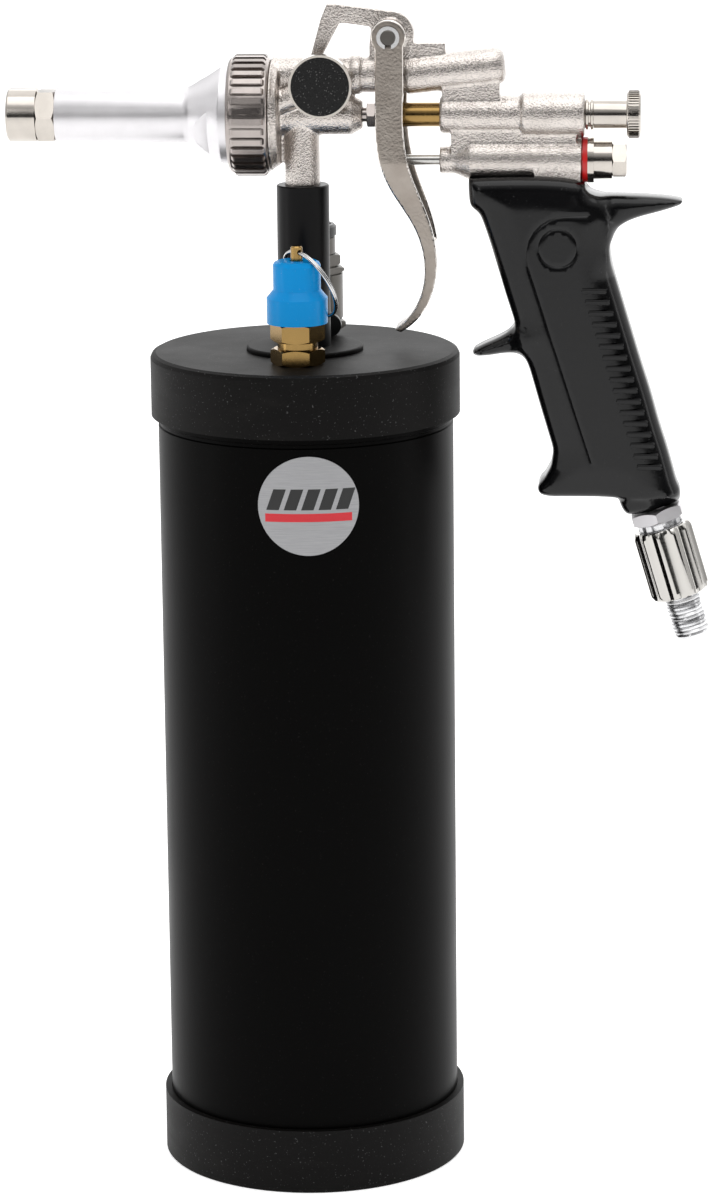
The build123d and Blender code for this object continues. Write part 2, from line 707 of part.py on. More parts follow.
def housings():
    """Needle spring housing, air valve housing, the webs between and the air gallery."""
    needle = [
        (HOUSING_FRONT, HOUSING_R - 0.8),
        (HOUSING_FRONT + 0.8, HOUSING_R),
        (HOUSING_STEP - 0.8, HOUSING_R),
        (HOUSING_STEP, HOUSING_REAR_R),
        (HOUSING_END - 0.6, HOUSING_REAR_R),
        (HOUSING_END, HOUSING_REAR_R - 0.6),
    ]
    casting = turned(lengthwise(AXIS_Z), needle)
    valve = [
        (VALVE_FRONT, VALVE_BOSS_R),
        (VALVE_FRONT + 5.2, VALVE_BOSS_R),
        (VALVE_FRONT + 11.2, VALVE_R),
        (VALVE_END, VALVE_R),
    ]
    casting += turned(lengthwise(VALVE_Z), valve)
    casting += block(HOUSING_FRONT + 1, 71.5, -4.5, 4.5, AXIS_Z, TUBE_Z + 1)
    casting += block(54.0, HOUSING_END - 3, -4.5, 4.5, VALVE_Z, AXIS_Z)
    gallery = upright(GALLERY_X, GALLERY_Y)
    casting += rod(gallery, VALVE_Z - 3.5, TUBE_Z + 4.0, GALLERY_R)
    casting += block(GALLERY_X - 4, GALLERY_X + 4, 0, GALLERY_Y, VALVE_Z - 3.5, TUBE_Z + 4.0)
    return casting + tongue(0)


def tongue(gap):
    """The lug under the air valve housing that the handle slips over."""
    wide = TONGUE_HALF_WIDTH + gap
    return block(84.0 - gap, 100.6 + gap, -wide, wide, VALVE_Z - 17.0 - gap, VALVE_Z)


def gun_bores(casting):
    """Cut the air ways and every seat that an inner piece fits."""
    axis = lengthwise(AXIS_Z)
    tube = lengthwise(TUBE_Z)
    valve = lengthwise(VALVE_Z)
    cuts = [
        rod(axis, SPIGOT_FRONT - 1, SEAT_REAR, SEAT_R),
        rod(axis, SEAT_REAR - 1, 12.0, CHAMBER_R),
        rod(axis, 11.0, 16.0, NEEDLE_R + FIT),
        rod(axis, 15.0, BARREL_END + 1, GLAND_THREAD_R),
        rod(upright(), STEM_END - 1, AXIS_Z, STEM_BORE_R),
        rod(tube, SPIGOT_FRONT - 1, -3.0, GALLERY_BORE_R),
        rod(tube, -4.0, REAR_TUBE_START, UPPER_BORE_R),
        rod(rear_tube_plane(), -1.0, 30.0, UPPER_BORE_R + 0.3),
        rod(axis, HOUSING_FRONT - 1, 63.5, SLEEVE_R + FIT),
        rod(axis, 62.5, HOUSING_END + 1, HOUSING_BORE_R),
        rod(valve, VALVE_FRONT - 1, VALVE_FRONT + 8, 3.2),
        rod(valve, VALVE_FRONT + 7, VALVE_SEAT_X + 1, VALVE_CHAMBER_R),
        rod(valve, VALVE_SEAT_X, VALVE_END + 1, VALVE_BORE_R),
        rod(upright(GALLERY_X, GALLERY_Y), VALVE_Z - 1.0, TUBE_Z + 1.0, GALLERY_BORE_R),
        rod(crosswise(GALLERY_X, VALVE_Z), 0, GALLERY_Y, GALLERY_BORE_R - 0.4),
        rod(crosswise(GALLERY_X, TUBE_Z), 0, GALLERY_Y, GALLERY_BORE_R - 0.4),
        rod(crosswise(PIVOT_X, PIVOT_Z), -20, 20, PIVOT_PIN_R),
        rod(crosswise(KNOB_X, KNOB_Z), KNOB_FRONT, 2.0, KNOB_STEM_R + FIT),
        rod(inlet_plane(), -122.0, -100.0, AIR_TUBE_R),
        rod(inlet_plane(), -134.0, -120.0, AIR_TUBE_BORE_R),
    ]
    for cut in cuts:
        casting -= cut
    return casting


def gun_body():
    return gun_bores(head_casting() + upper_casting() + housings())


def needle_seat():
    start = SEAT_REAR - SEAT_THICK
    outer = [(start, SEAT_R), (SEAT_REAR, SEAT_R)]
    bore = [(start, SEAT_ORIFICE_R + 1.5), (SEAT_REAR - 2, SEAT_ORIFICE_R)]
    bore.append((SEAT_REAR, SEAT_ORIFICE_R))
    return turned(lengthwise(AXIS_Z), outer, bore)


def needle():
    outer = [
        (SEAT_REAR - 4.4, 0.5),
        (SEAT_REAR + 1.6, 4.5),
        (SEAT_REAR + 4.0, 4.5),
        (SEAT_REAR + 5.5, NEEDLE_R),
        (92.0, NEEDLE_R),
    ]
    return turned(lengthwise(AXIS_Z), outer)


def needle_packing():
    return ring(lengthwise(AXIS_Z), 16.0, 18.4, GLAND_THREAD_R, NEEDLE_R + 0.02)


def gland_nut():
    axis = lengthwise(AXIS_Z)
    nut = rod(axis, 18.4, BARREL_END + 1.6, GLAND_THREAD_R)
    nut += hexagon(axis, BARREL_END + 1.6, BARREL_END + 4.8, GLAND_FLATS)
    return nut - rod(axis, 17, BARREL_END + 6, NEEDLE_R + FIT)


def needle_sleeve():
    outer = [
        (30.2, SLEEVE_NOSE_R - 0.6),
        (30.8, SLEEVE_NOSE_R),
        (36.6, SLEEVE_NOSE_R),
        (36.6, SLEEVE_R),
        (64.0, SLEEVE_R),
        (64.0, SLEEVE_COLLAR_R),
        (66.0, SLEEVE_COLLAR_R),
    ]
    bore = NEEDLE_R + 0.02
    return turned(lengthwise(AXIS_Z), outer, [(30.2, bore), (66.0, bore)])


def needle_spring():
    return coil(lengthwise(AXIS_Z), 66.1, 85.9, HOUSING_BORE_R - 1.0, 0.6, 7)


def needle_stop():
    return ring(lengthwise(AXIS_Z), 86.0, 89.0, HOUSING_BORE_R - FIT, NEEDLE_R + 0.1)


def adjuster_knob():
    end = HOUSING_END + ADJUSTER_LENGTH
    head = end - ADJUSTER_THICK
    shank = ADJUSTER_SHANK_R
    outer = [
        (89.05, HOUSING_BORE_R - FIT),
        (HOUSING_END + 0.4, HOUSING_BORE_R - FIT),
        (HOUSING_END + 0.4, shank + 0.4),
        (HOUSING_END + 1.4, shank + 0.4),
        (HOUSING_END + 1.4, shank - 0.5),
        (HOUSING_END + 2.0, shank - 0.5),
        (HOUSING_END + 2.0, shank + 0.4),
        (HOUSING_END + 3.0, shank + 0.4),
        (HOUSING_END + 3.0, shank),
        (head, shank),
        (head, ADJUSTER_R - 0.7),
        (head + 0.7, ADJUSTER_R),
        (end - 0.7, ADJUSTER_R),
        (end, ADJUSTER_R - 0.7),
    ]
    blind = [(89.05, NEEDLE_R + 0.6), (110.0, NEEDLE_R + 0.6), (110.0, 0), (end, 0)]
    return turned(lengthwise(AXIS_Z), outer, blind)


def ring_nut():
    axis = lengthwise(AXIS_Z)
    end = FLANGE_FRONT - 0.1
    outer = [
        (RING_NUT_FRONT, RING_NUT_R - 2.1),
        (RING_NUT_FRONT + 2.3, RING_NUT_R),
        (end - 1.7, RING_NUT_R),
        (end, RING_NUT_R - 1.2),
    ]
    lip_end = RING_NUT_FRONT + RING_NUT_LIP
    inside = [
        (RING_NUT_FRONT, NOZZLE_CONE_R + FIT),
        (lip_end, NOZZLE_CONE_R + FIT),
        (lip_end, SPIGOT_R + FIT),
        (end, SPIGOT_R + FIT),
    ]
    return turned(axis, outer, inside)


def nozzle_tube():
    axis = lengthwise(AXIS_Z)
    lip_start = RING_NUT_FRONT + RING_NUT_LIP + FIT
    end = SPIGOT_FRONT - GASKET_THICK
    outer = [
        (NOZZLE_FRONT, NOZZLE_R),
        (-41.7, NOZZLE_R),
        (-39.4, NOZZLE_R + 0.7),
        (-36.9, NOZZLE_R + 2.4),
        (-33.3, NOZZLE_R + 4.45),
        (-29.7, NOZZLE_CONE_R - 0.5),
        (-28.6, NOZZLE_CONE_R),
        (lip_start, NOZZLE_CONE_R),
        (lip_start, NOZZLE_LIP_R),
        (end, NOZZLE_LIP_R),
    ]
    inside = [
        (NOZZLE_FRONT, NOZZLE_BORE_R),
        (-36.0, NOZZLE_BORE_R),
        (-26.0, NOZZLE_LIP_R - 2.8),
        (end, NOZZLE_LIP_R - 1.7),
    ]
    tube = turned(axis, outer, inside)
    for side in (-1, 1):
        flat = NOZZLE_CONE_R - 2.0
        tube -= block(-37.0, -28.6, *sorted((side * flat, side * 20)), AXIS_Z - 20, AXIS_Z + 20)
    return tube


def nozzle_gasket():
    axis = lengthwise(AXIS_Z)
    return ring(axis, SPIGOT_FRONT - GASKET_THICK, SPIGOT_FRONT, NOZZLE_LIP_R, NOZZLE_LIP_R - 1.5)


def nozzle_tip():
    axis = lengthwise(AXIS_Z)
    hex_front = NOZZLE_FRONT - TIP_HEX
    front = hex_front - TIP_ROUND
    tip = turned(axis, [(front, TIP_R - 0.7), (front + 0.7, TIP_R), (hex_front, TIP_R)])
    tip += hexagon(axis, hex_front, NOZZLE_FRONT, TIP_FLATS)
    tip += rod(axis, NOZZLE_FRONT, NOZZLE_FRONT + 9, NOZZLE_BORE_R)
    return tip - rod(axis, front - 1, NOZZLE_FRONT + 10, TIP_BORE_R)


# ---- side knob ----


def side_knob():
    across = crosswise(KNOB_X, KNOB_Z)
    back = KNOB_FRONT + KNOB_THICK
    knob = rod(across, KNOB_FRONT, back, KNOB_R)
    knob -= rod(across, KNOB_FRONT - 1, KNOB_FRONT + 1.0, KNOB_DISC_R)
    return knob + rod(across, back, 1.8, KNOB_STEM_R)


def side_knob_disc():
    return rod(crosswise(KNOB_X, KNOB_Z), KNOB_FRONT + 0.2, KNOB_FRONT + 1.0, KNOB_DISC_R)


# ---- trigger ----


def trigger_outline():
    """The trigger's side view: two smooth edges that meet in a rounded tip."""
    front = [(-4.9, 8.0), (-4.9, -4.5), (-4.0, -14.0), (0.1, -25.6), (8.6, -40.0), (12.0, -53.4)]
    front += [(10.2, -65.7), (0.7, -77.5)]
    rear = [(5.3, 8.0), (5.1, -4.5), (7.3, -18.8), (12.7, -33.6), (16.5, -50.8), (13.3, -67.8)]
    rear += [(3.2, -78.5)]
    head = [front[0], (-4.9, PIVOT_ABOVE_AXIS - 3), (5.3, PIVOT_ABOVE_AXIS - 3), rear[0]]
    runs = [[(PIVOT_X + x, AXIS_Z + z) for x, z in run] for run in (front, rear, head)]
    tip = Polyline(runs[0][-1], runs[1][-1])
    return make_face([Spline(*runs[0]), Spline(*runs[1]), Polyline(*runs[2]), tip])


def trigger():
    """Two side plates and a front web, narrowing to a blade that the finger pulls."""
    outline = trigger_outline()
    body = slab(outline + Location((PIVOT_X, PIVOT_Z)) * Circle(EAR_R), TRIGGER_HALF_WIDTH)
    wide = TRIGGER_HALF_WIDTH
    slim = TRIGGER_TIP_HALF_WIDTH
    half_front = [
        (-wide, PIVOT_Z + 10),
        (-wide, AXIS_Z - 16),
        (-wide + 3.5, AXIS_Z - 32),
        (-slim, AXIS_Z - 60),
        (-slim + 2, AXIS_Z - 85),
    ]
    front = half_front + [(-y, z) for y, z in reversed(half_front)]
    side_on = Plane(origin=(0, 0, 0), x_dir=(0, 1, 0), z_dir=(1, 0, 0))
    body &= extrude(side_on * make_face(Polyline(*front, close=True)), amount=70)
    inner = wide - TRIGGER_PLATE
    hollow_half = [
        (-inner, PIVOT_Z + 10),
        (-inner, AXIS_Z - 17),
        (-inner + 3.4, AXIS_Z - 32),
        (-slim + TRIGGER_PLATE, AXIS_Z - 46),
    ]
    hollow_front = hollow_half + [(-y, z) for y, z in reversed(hollow_half)]
    hollow = extrude(side_on * make_face(Polyline(*hollow_front, close=True)), amount=70)
    channel = Location((TRIGGER_WEB, 0, 0)) * slab(outline, 20)
    channel += block(PIVOT_X - 12, PIVOT_X + 12, -20, 20, AXIS_Z + 5.5, PIVOT_Z + 9)
    channel += Location((TRIGGER_WEB + 3, 0, 0)) * slab(outline, 20)
    body -= hollow & channel
    body -= block(PIVOT_X - 12, PIVOT_X + 1.7, -2.0, 2.0, AXIS_Z - 3.5, AXIS_Z + 8)
    return body - rod(crosswise(PIVOT_X, PIVOT_Z), -20, 20, PIVOT_PIN_R + FIT)


def trigger_pin():
    half = TRIGGER_HALF_WIDTH + 1.6
    groove = TRIGGER_HALF_WIDTH + 0.1
    neck = PIVOT_PIN_R - 0.6
    side = [
        (-half, PIVOT_PIN_R - 0.3),
        (-half + 0.3, PIVOT_PIN_R),
        (-groove - CLIP_THICK, PIVOT_PIN_R),
        (-groove - CLIP_THICK, neck),
        (-groove, neck),
        (-groove, PIVOT_PIN_R),
    ]
    other = [(-height, radius) for height, radius in reversed(side)]
    return turned(crosswise(PIVOT_X, PIVOT_Z), side + other)


def trigger_clips():
    """Two open retaining rings in the pin's end grooves."""
    groove = TRIGGER_HALF_WIDTH + 0.1
    across = crosswise(PIVOT_X, PIVOT_Z)
    clips = []
    for start in (-groove - CLIP_THICK, groove):
        clip = ring(across, start, start + CLIP_THICK, CLIP_R, PIVOT_PIN_R - 0.6)
        gap = block(PIVOT_X - 1.1, PIVOT_X + 1.1, start - 1, start + 2, PIVOT_Z - 6, PIVOT_Z)
        clips.append((clip - gap).solids()[0])
    return Compound(children=clips)


# ---- air valve ----


def air_valve_rod():
    outer = [(31.5, VALVE_ROD_R - 0.6), (32.1, VALVE_ROD_R), (VALVE_SEAT_X + 8, VALVE_ROD_R)]
    return turned(lengthwise(VALVE_Z), outer)


def rod_bush():
    axis = lengthwise(VALVE_Z)
    return ring(axis, VALVE_FRONT, VALVE_FRONT + 5.5, 3.2, VALVE_ROD_R + FIT)


def rod_seal():
    axis = lengthwise(VALVE_Z)
    return ring(axis, VALVE_FRONT + 5.5, VALVE_FRONT + 8, 3.2, VALVE_ROD_R + 0.02)


def air_valve_seat():
    axis = lengthwise(VALVE_Z)
    return ring(axis, VALVE_SEAT_X, VALVE_SEAT_X + VALVE_SEAT_THICK, VALVE_BORE_R, 3.5)


def air_valve_poppet():
    start = VALVE_SEAT_X + VALVE_SEAT_THICK + 0.05
    wide = VALVE_BORE_R - 1.0
    hub = VALVE_ROD_R + 1.0
    outer = [(start, wide - 0.8), (start + 0.8, wide), (start + 4.0, wide), (start + 4.0, hub)]
    outer.append((start + 8.0, hub))
    bore = VALVE_ROD_R + 0.02
    inside = [(start, bore), (start + 5.0, bore), (start + 5.0, 0), (start + 8.0, 0)]
    return turned(lengthwise(VALVE_Z), outer, inside)


def air_valve_spring():
    start = VALVE_SEAT_X + VALVE_SEAT_THICK + 4.15
    return coil(lengthwise(VALVE_Z), start, VALVE_END + 3.6, VALVE_BORE_R - 2.0, 0.55, 8)


def air_valve_washer():
    axis = lengthwise(VALVE_Z)
    return ring(axis, VALVE_END, VALVE_END + WASHER_THICK, WASHER_R, VALVE_BORE_R + FIT)


def air_valve_cap():
    axis = lengthwise(VALVE_Z)
    flange = VALVE_END + WASHER_THICK
    cap = turned(
        axis,
        [
            (VALVE_END - 6.0, VALVE_BORE_R),
            (flange, VALVE_BORE_R),
            (flange, 8.3),
            (flange + 2.2, 8.3),
            (flange + 2.2, 7.0),
            (flange + 8.8, 7.0),
        ],
    )
    cap += hexagon(axis, flange + 8.8, flange + 14.0, 11.6)
    return cap - rod(axis, VALVE_END - 7, VALVE_END + 3.7, VALVE_BORE_R - 1.3)


# ---- handle and air inlet ----


def below_axis(points):
    """A face from points given as x and drop below the gun's axis."""
    return outline_of([(x, AXIS_Z - drop) for x, drop in points])


def grip_outline():
    """The handle's side view without its spurs, foot and neck."""
    front = [(58.1, 21.6), (60.9, 32.2), (68.3, 45.6), (90.7, 120.7), (88.6, 129.7), (85.2, 138.7)]
    rear = [(136.9, 138.7), (111.7, 52.1), (115.7, 28.6), (104.0, 28.6), (101.3, 21.6)]
    return below_axis(front + rear)


def handle():
    """A moulded grip with a guard spur in front and a hand stop behind."""
    grip = slab(grip_outline(), HANDLE_HALF_WIDTH)
    long_edges = [
        edge
        for edge in grip.edges()
        if abs(edge.center().Y) > HANDLE_HALF_WIDTH - 0.1 and abs(edge.tangent_at(0.5).Z) > 0.4
    ]
    grip = fillet([edge for edge in long_edges if edge.length > 12], HANDLE_EDGE)
    neck = [(112.0, 135.2), (114.4, 138.7), (117.3, 145.9), (119.4, 146.0), (137.0, 140.6)]
    neck += [(136.8, 135.2)]
    tip = CAP_R + SPUR_CLEARANCE
    guard = [(84, 61.2), (75.8, 72.7), (76.5, 76.3), (tip + 9.1, 80.8), (tip, 85.2)]
    guard += [(tip + 0.8, 87.5), (tip + 12.7, 86.1), (tip + 17.1, 86.5), (84, 95.2), (95, 95.2)]
    guard.append((95, 61.2))
    stop = [(104, 28.6), (129.1, 29.2), (136.8, 30.3), (137.3, 31.4), (129.1, 34.6)]
    stop += [(115.8, 39.0), (111.5, 45.7), (104, 45.7)]
    for spur in (neck, guard, stop):
        grip += slab(below_axis(spur), SPUR_HALF_WIDTH)
    grip -= rod(lengthwise(VALVE_Z), 50, 120, VALVE_R + 0.1)
    grip -= rod(lengthwise(VALVE_Z), VALVE_END - 0.4, 125, WASHER_R + 0.5)
    grip -= tongue(0.1)
    return grip - rod(inlet_plane(), -125, 5, AIR_TUBE_R + 0.1)


def air_tube():
    """Pipe from the inlet up to the air valve, which also holds the handle on."""
    return ring(inlet_plane(), -120.0, 2.0, AIR_TUBE_R, AIR_TUBE_BORE_R)


def handle_collar():
    plane = inlet_plane()
    collar = hexagon(plane, 0.6, 0.6 + COLLAR_THICK, COLLAR_FLATS)
    return collar - rod(plane, 0, 8, AIR_TUBE_R + FIT)


def inlet_core():
    """Castellated neck, the core inside the flow sleeve and the male inlet thread."""
    plane = inlet_plane()
    neck = 0.6 + COLLAR_THICK
    sleeve = neck + NECK_LENGTH
    tail = sleeve + FLOW_SLEEVE_LENGTH
    core = rod(plane, neck, sleeve, NECK_R)
    core += rod(plane, sleeve, tail, FLOW_SLEEVE_R - 2.6)
    end = tail + INLET_THREAD_LENGTH
    thread_r = INLET_THREAD_R
    core += turned(plane, [(tail, thread_r), (end, thread_r), (end + 0.8, thread_r - 0.8)])
    return core - rod(plane, neck - 1, end + 2, INLET_BORE_R)


def flow_sleeve():
    """The fluted ring that throttles the air as it is turned."""
    plane = inlet_plane()
    start = 0.6 + COLLAR_THICK + NECK_LENGTH + 0.1
    end = start + FLOW_SLEEVE_LENGTH - 0.2
    outer_r = FLOW_SLEEVE_R
    outer = [(start, outer_r - 0.7), (start + 0.7, outer_r), (end - 0.7, outer_r), (end, outer_r - 0.7)]
    bore = outer_r - 2.6 + FIT
    sleeve = turned(plane, outer, [(start, bore), (end, bore)])
    for step in range(FLUTE_COUNT):
        angle = 2 * math.pi * step / FLUTE_COUNT
        reach = outer_r + FLUTE_R - FLUTE_DEPTH
        place = Location((reach * math.cos(angle), reach * math.sin(angle), (start + end) / 2))
        sleeve -= plane.location * place * Cylinder(FLUTE_R, end - start - 5)
    return sleeve


PIECES = [
    tank_tube, tank_top_head, tank_bottom_head, top_cap, bottom_cap, label_plate,
    riser_flange, riser_pipe, stem_seal,
    relief_body, relief_bonnet, relief_cap, relief_seal, relief_stem, relief_spring, pull_ring,
    fill_valve_body, fill_valve_seats, fill_valve_ball, fill_valve_stem, fill_valve_lever,
    fill_lever_screw, fill_coupling_body, fill_poppet, fill_poppet_spring,
    fill_coupling_sleeve, fill_coupling_guard,
    gun_body, needle_seat, needle, needle_packing, gland_nut, needle_sleeve, needle_spring,
    needle_stop, adjuster_knob, ring_nut, nozzle_tube, nozzle_gasket, nozzle_tip,
    side_knob, side_knob_disc, trigger, trigger_pin, trigger_clips,
    air_valve_rod, rod_bush, rod_seal, air_valve_seat, air_valve_poppet, air_valve_spring,
    air_valve_washer, air_valve_cap,
    handle, air_tube, handle_collar, inlet_core, flow_sleeve,
]

os.makedirs("parts", exist_ok=True)
for piece in PIECES:
    export_step(piece(), f"parts/{piece.__name__}.step")
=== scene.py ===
import math

import bmesh
import bpy
from mathutils import Matrix, Vector
from mathutils.geometry import delaunay_2d_cdt


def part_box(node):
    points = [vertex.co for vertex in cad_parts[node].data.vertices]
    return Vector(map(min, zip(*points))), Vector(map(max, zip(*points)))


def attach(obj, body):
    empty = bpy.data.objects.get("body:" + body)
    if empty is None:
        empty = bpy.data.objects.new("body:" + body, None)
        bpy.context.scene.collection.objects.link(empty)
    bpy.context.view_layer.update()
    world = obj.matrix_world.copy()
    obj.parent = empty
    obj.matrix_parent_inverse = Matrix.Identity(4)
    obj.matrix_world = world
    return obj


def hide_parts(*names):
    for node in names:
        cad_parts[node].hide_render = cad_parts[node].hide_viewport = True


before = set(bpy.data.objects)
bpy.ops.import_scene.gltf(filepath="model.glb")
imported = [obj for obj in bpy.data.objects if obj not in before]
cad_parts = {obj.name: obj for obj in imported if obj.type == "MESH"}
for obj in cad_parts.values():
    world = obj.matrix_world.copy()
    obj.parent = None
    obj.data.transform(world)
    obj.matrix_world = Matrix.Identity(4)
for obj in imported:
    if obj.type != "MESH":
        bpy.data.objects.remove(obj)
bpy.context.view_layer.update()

MM = 0.001

# ---- angles in degrees ----
INLET_TILT = 16.5
LABEL_TURN = 5.5
RING_LEAN = 62.7
RING_YAW = 38.4
FLAT_TURN = 28
VIEW_TURN = 4.3
VIEW_RISE = 13.27
VIEW_ROLL = -0.628

# ---- sizes in millimetres, and counts ----
RING_R = 13.6
RING_WIRE = 0.55
RING_RISE = 1.08
NUT_SPLINES = 36
ADJUSTER_RIDGES = 46
FLAT_AWAY = 11.4
WASHER_R = 21.3
RIBS_EACH_SIDE = 17
RIB_HALF_LENGTH = 4.5
NECK_MERLONS = 12
FLUTES = 11
FLUTE_HALF = 2.6
FLUTE_DEPTH = 1.15
FLUTE_STEPS = 18


# ---- node trees ----


class Socket:
    """One output of a node; arithmetic on it adds Math nodes."""

    def __init__(self, tree, output):
        self.tree = tree
        self.output = output

    def math(self, operation, first, second=0.0):
        return self.tree.add("ShaderNodeMath", {"operation": operation}, {0: first, 1: second})

    def __add__(self, other):
        return self.math("ADD", self, other)

    __radd__ = __add__

    def __sub__(self, other):
        return self.math("SUBTRACT", self, other)

    def __rsub__(self, other):
        return self.math("SUBTRACT", other, self)

    def __mul__(self, other):
        return self.math("MULTIPLY", self, other)

    __rmul__ = __mul__

    def __truediv__(self, other):
        return self.math("DIVIDE", self, other)

    def __lt__(self, other):
        return self.math("LESS_THAN", self, other)

    def size(self):
        return self.math("ABSOLUTE", self)

    def fraction(self):
        return self.math("FRACT", self)


class Tree:
    """A node tree with one way of adding a node."""

    def __init__(self, nodes):
        self.nodes = nodes

    def add(self, kind, settings, inputs, output=0):
        """A node of this kind: its settings first, then the values or links of its sockets."""
        node = self.nodes.nodes.new(kind)
        for key, value in settings.items():
            setattr(node, key, value)
        for key, value in inputs.items():
            if isinstance(value, Socket):
                self.nodes.links.new(value.output, node.inputs[key])
            else:
                node.inputs[key].default_value = value
        return Socket(self, node.outputs[output])


class Finish(Tree):
    """A material: a Principled shader with plain numbers on it, and what varies them."""

    def __init__(self, name, colour, **numbers):
        self.material = bpy.data.materials.new(name)
        self.material.use_nodes = True
        super().__init__(self.material.node_tree)
        self.shader = self.nodes.nodes["Principled BSDF"]
        self.shader.inputs["Base Color"].default_value = (*colour, 1)
        for key, value in numbers.items():
            self.shader.inputs[key.replace("_", " ")].default_value = value

    def feed(self, socket, value):
        self.nodes.links.new(value.output, self.shader.inputs[socket])

    def place(self, centre=(0, 0, 0), turn=(0, 0, 0), scale=(1, 1, 1)):
        """Object coordinates moved so that centre is the origin, then turned and scaled."""
        coordinates = self.add("ShaderNodeTexCoord", {}, {}, "Object")
        inputs = {0: coordinates, 1: tuple(-c for c in centre)}
        moved = self.add("ShaderNodeVectorMath", {"operation": "ADD"}, inputs)
        return self.add("ShaderNodeMapping", {}, {0: moved, 2: turn, 3: scale})

    def parts(self, vector):
        return [self.add("ShaderNodeSeparateXYZ", {}, {0: vector}, axis) for axis in range(3)]

    def noise(self, scale, detail=2.0, roughness=0.5, place=None):
        place = place or self.place()
        inputs = {"Vector": place, "Scale": scale, "Detail": detail, "Roughness": roughness}
        return self.add("ShaderNodeTexNoise", {}, inputs)

    def grains(self, scale):
        inputs = {"Vector": self.place(), "Scale": scale}
        return self.add("ShaderNodeTexVoronoi", {}, inputs)

    def between(self, value, low, high):
        """A number from 0 at low to 1 at high, held level outside them."""
        inputs = {0: value, 1: low, 2: high, 3: 0.0, 4: 1.0}
        return self.add("ShaderNodeMapRange", {"interpolation_type": "SMOOTHSTEP"}, inputs)

    def blend(self, amount, first, second):
        """A colour between two colours."""
        pair = [v if isinstance(v, Socket) else (*v, 1) for v in (first, second)]
        inputs = {0: amount, 6: pair[0], 7: pair[1]}
        return self.add("ShaderNodeMix", {"data_type": "RGBA"}, inputs, 2)

    def bump(self, height, distance, strength=1.0):
        inputs = {"Height": height, "Distance": distance, "Strength": strength}
        self.feed("Normal", self.add("ShaderNodeBump", {}, inputs))


def tank_paint():
    """Satin black paint with a fine orange peel and a little dust."""
    finish = Finish("tank_paint", (0.006, 0.006, 0.0065), Specular_IOR_Level=0.03)
    cloud = finish.noise(22, 3)
    peel = finish.noise(900, 2)
    dust = finish.between(finish.noise(1600, 1), 0.71, 0.76)
    paint, speck = (0.0012, 0.0011, 0.001), (0.03, 0.028, 0.026)
    finish.feed("Base Color", finish.blend(dust * 0.3, paint, speck))
    finish.feed("Roughness", 0.3 + cloud * 0.12 + dust * 0.2)
    finish.bump(peel, 0.00003, 0.5)
    return finish.material


def cap_rubber():
    """Matt black rubber, wiped in streaks and dusty."""
    finish = Finish("cap_rubber", (0.008, 0.008, 0.008), Specular_IOR_Level=0.1)
    wipe = finish.noise(1, 4, 0.6, finish.place(scale=(35, 35, 140)))
    dust = finish.between(finish.noise(1300, 2), 0.66, 0.74)
    worn = finish.between(wipe, 0.5, 0.8)
    dusty = finish.blend(worn * 0.4, (0.0025, 0.0022, 0.002), (0.011, 0.01, 0.009))
    finish.feed("Base Color", finish.blend(dust * 0.4, dusty, (0.14, 0.14, 0.14)))
    finish.feed("Roughness", 0.42 + wipe * 0.2)
    finish.bump(finish.noise(700, 3, 0.6), 0.00006, 0.5)
    return finish.material


def black_steel():
    """Satin black paint on the riser, with faint long streaks."""
    finish = Finish("black_steel", (0.003, 0.003, 0.003), Specular_IOR_Level=0.12)
    streaks = finish.noise(1, 3, 0.6, finish.place(scale=(400, 400, 40)))
    finish.feed("Base Color", finish.blend(streaks, (0.002, 0.002, 0.002), (0.006, 0.0055, 0.006)))
    finish.feed("Roughness", 0.27 + 0.12 * streaks)
    finish.bump(finish.noise(1100, 2), 0.00003, 0.5)
    return finish.material


def label_silver():
    """Brushed plate with five slanted dark bars over one red bar."""
    low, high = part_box("label_plate")
    finish = Finish("label_silver", (0.6, 0.6, 0.6), Metallic=0.85)
    turn = math.radians(-LABEL_TURN)
    plate = finish.place(centre=(0, 0, (low.z + high.z) / 2), turn=(0, 0, turn))
    across, _, up = finish.parts(plate)
    streaks = finish.noise(1, 5, 0.75, finish.place(scale=(90, 90, 5200)))
    spots = finish.noise(300, 3)
    slanted = across - 0.35 * up
    step = 0.0062
    along = (slanted / step + 0.5).fraction() - 0.5
    bars = (along.size() < 0.36) * (slanted.size() < 2.5 * step) * ((up - 0.0024).size() < 0.0038)
    stripe = ((up + 0.0042).size() < 0.0015) * (across.size() < 0.0155)
    silver = finish.blend(streaks, (0.2, 0.2, 0.205), (0.46, 0.46, 0.47))
    marked = finish.blend(bars, silver, (0.006, 0.006, 0.006))
    finish.feed("Base Color", finish.blend(stripe, marked, (0.55, 0.01, 0.02)))
    inked = 1 - (bars + stripe)
    finish.feed("Metallic", 0.9 * inked)
    finish.feed("Roughness", 0.34 + streaks * 0.16 + spots * 0.06)
    finish.bump(streaks, 0.00004, 0.5)
    return finish.material


def moulded(name, colour, roughness, grain=900, depth=0.00003, **numbers):
    """A moulded plastic or rubber with a fine grain and a little dust."""
    finish = Finish(name, colour, **numbers)
    cloud = finish.noise(60, 3)
    dust = finish.between(finish.noise(1500, 1), 0.72, 0.78)
    pale = tuple(0.75 * c + 0.1 for c in colour)
    finish.feed("Base Color", finish.blend(dust * 0.4, colour, pale))
    finish.feed("Roughness", roughness + cloud * 0.12 + dust * 0.15)
    finish.bump(finish.noise(grain, 2), depth, 0.6)
    return finish.material


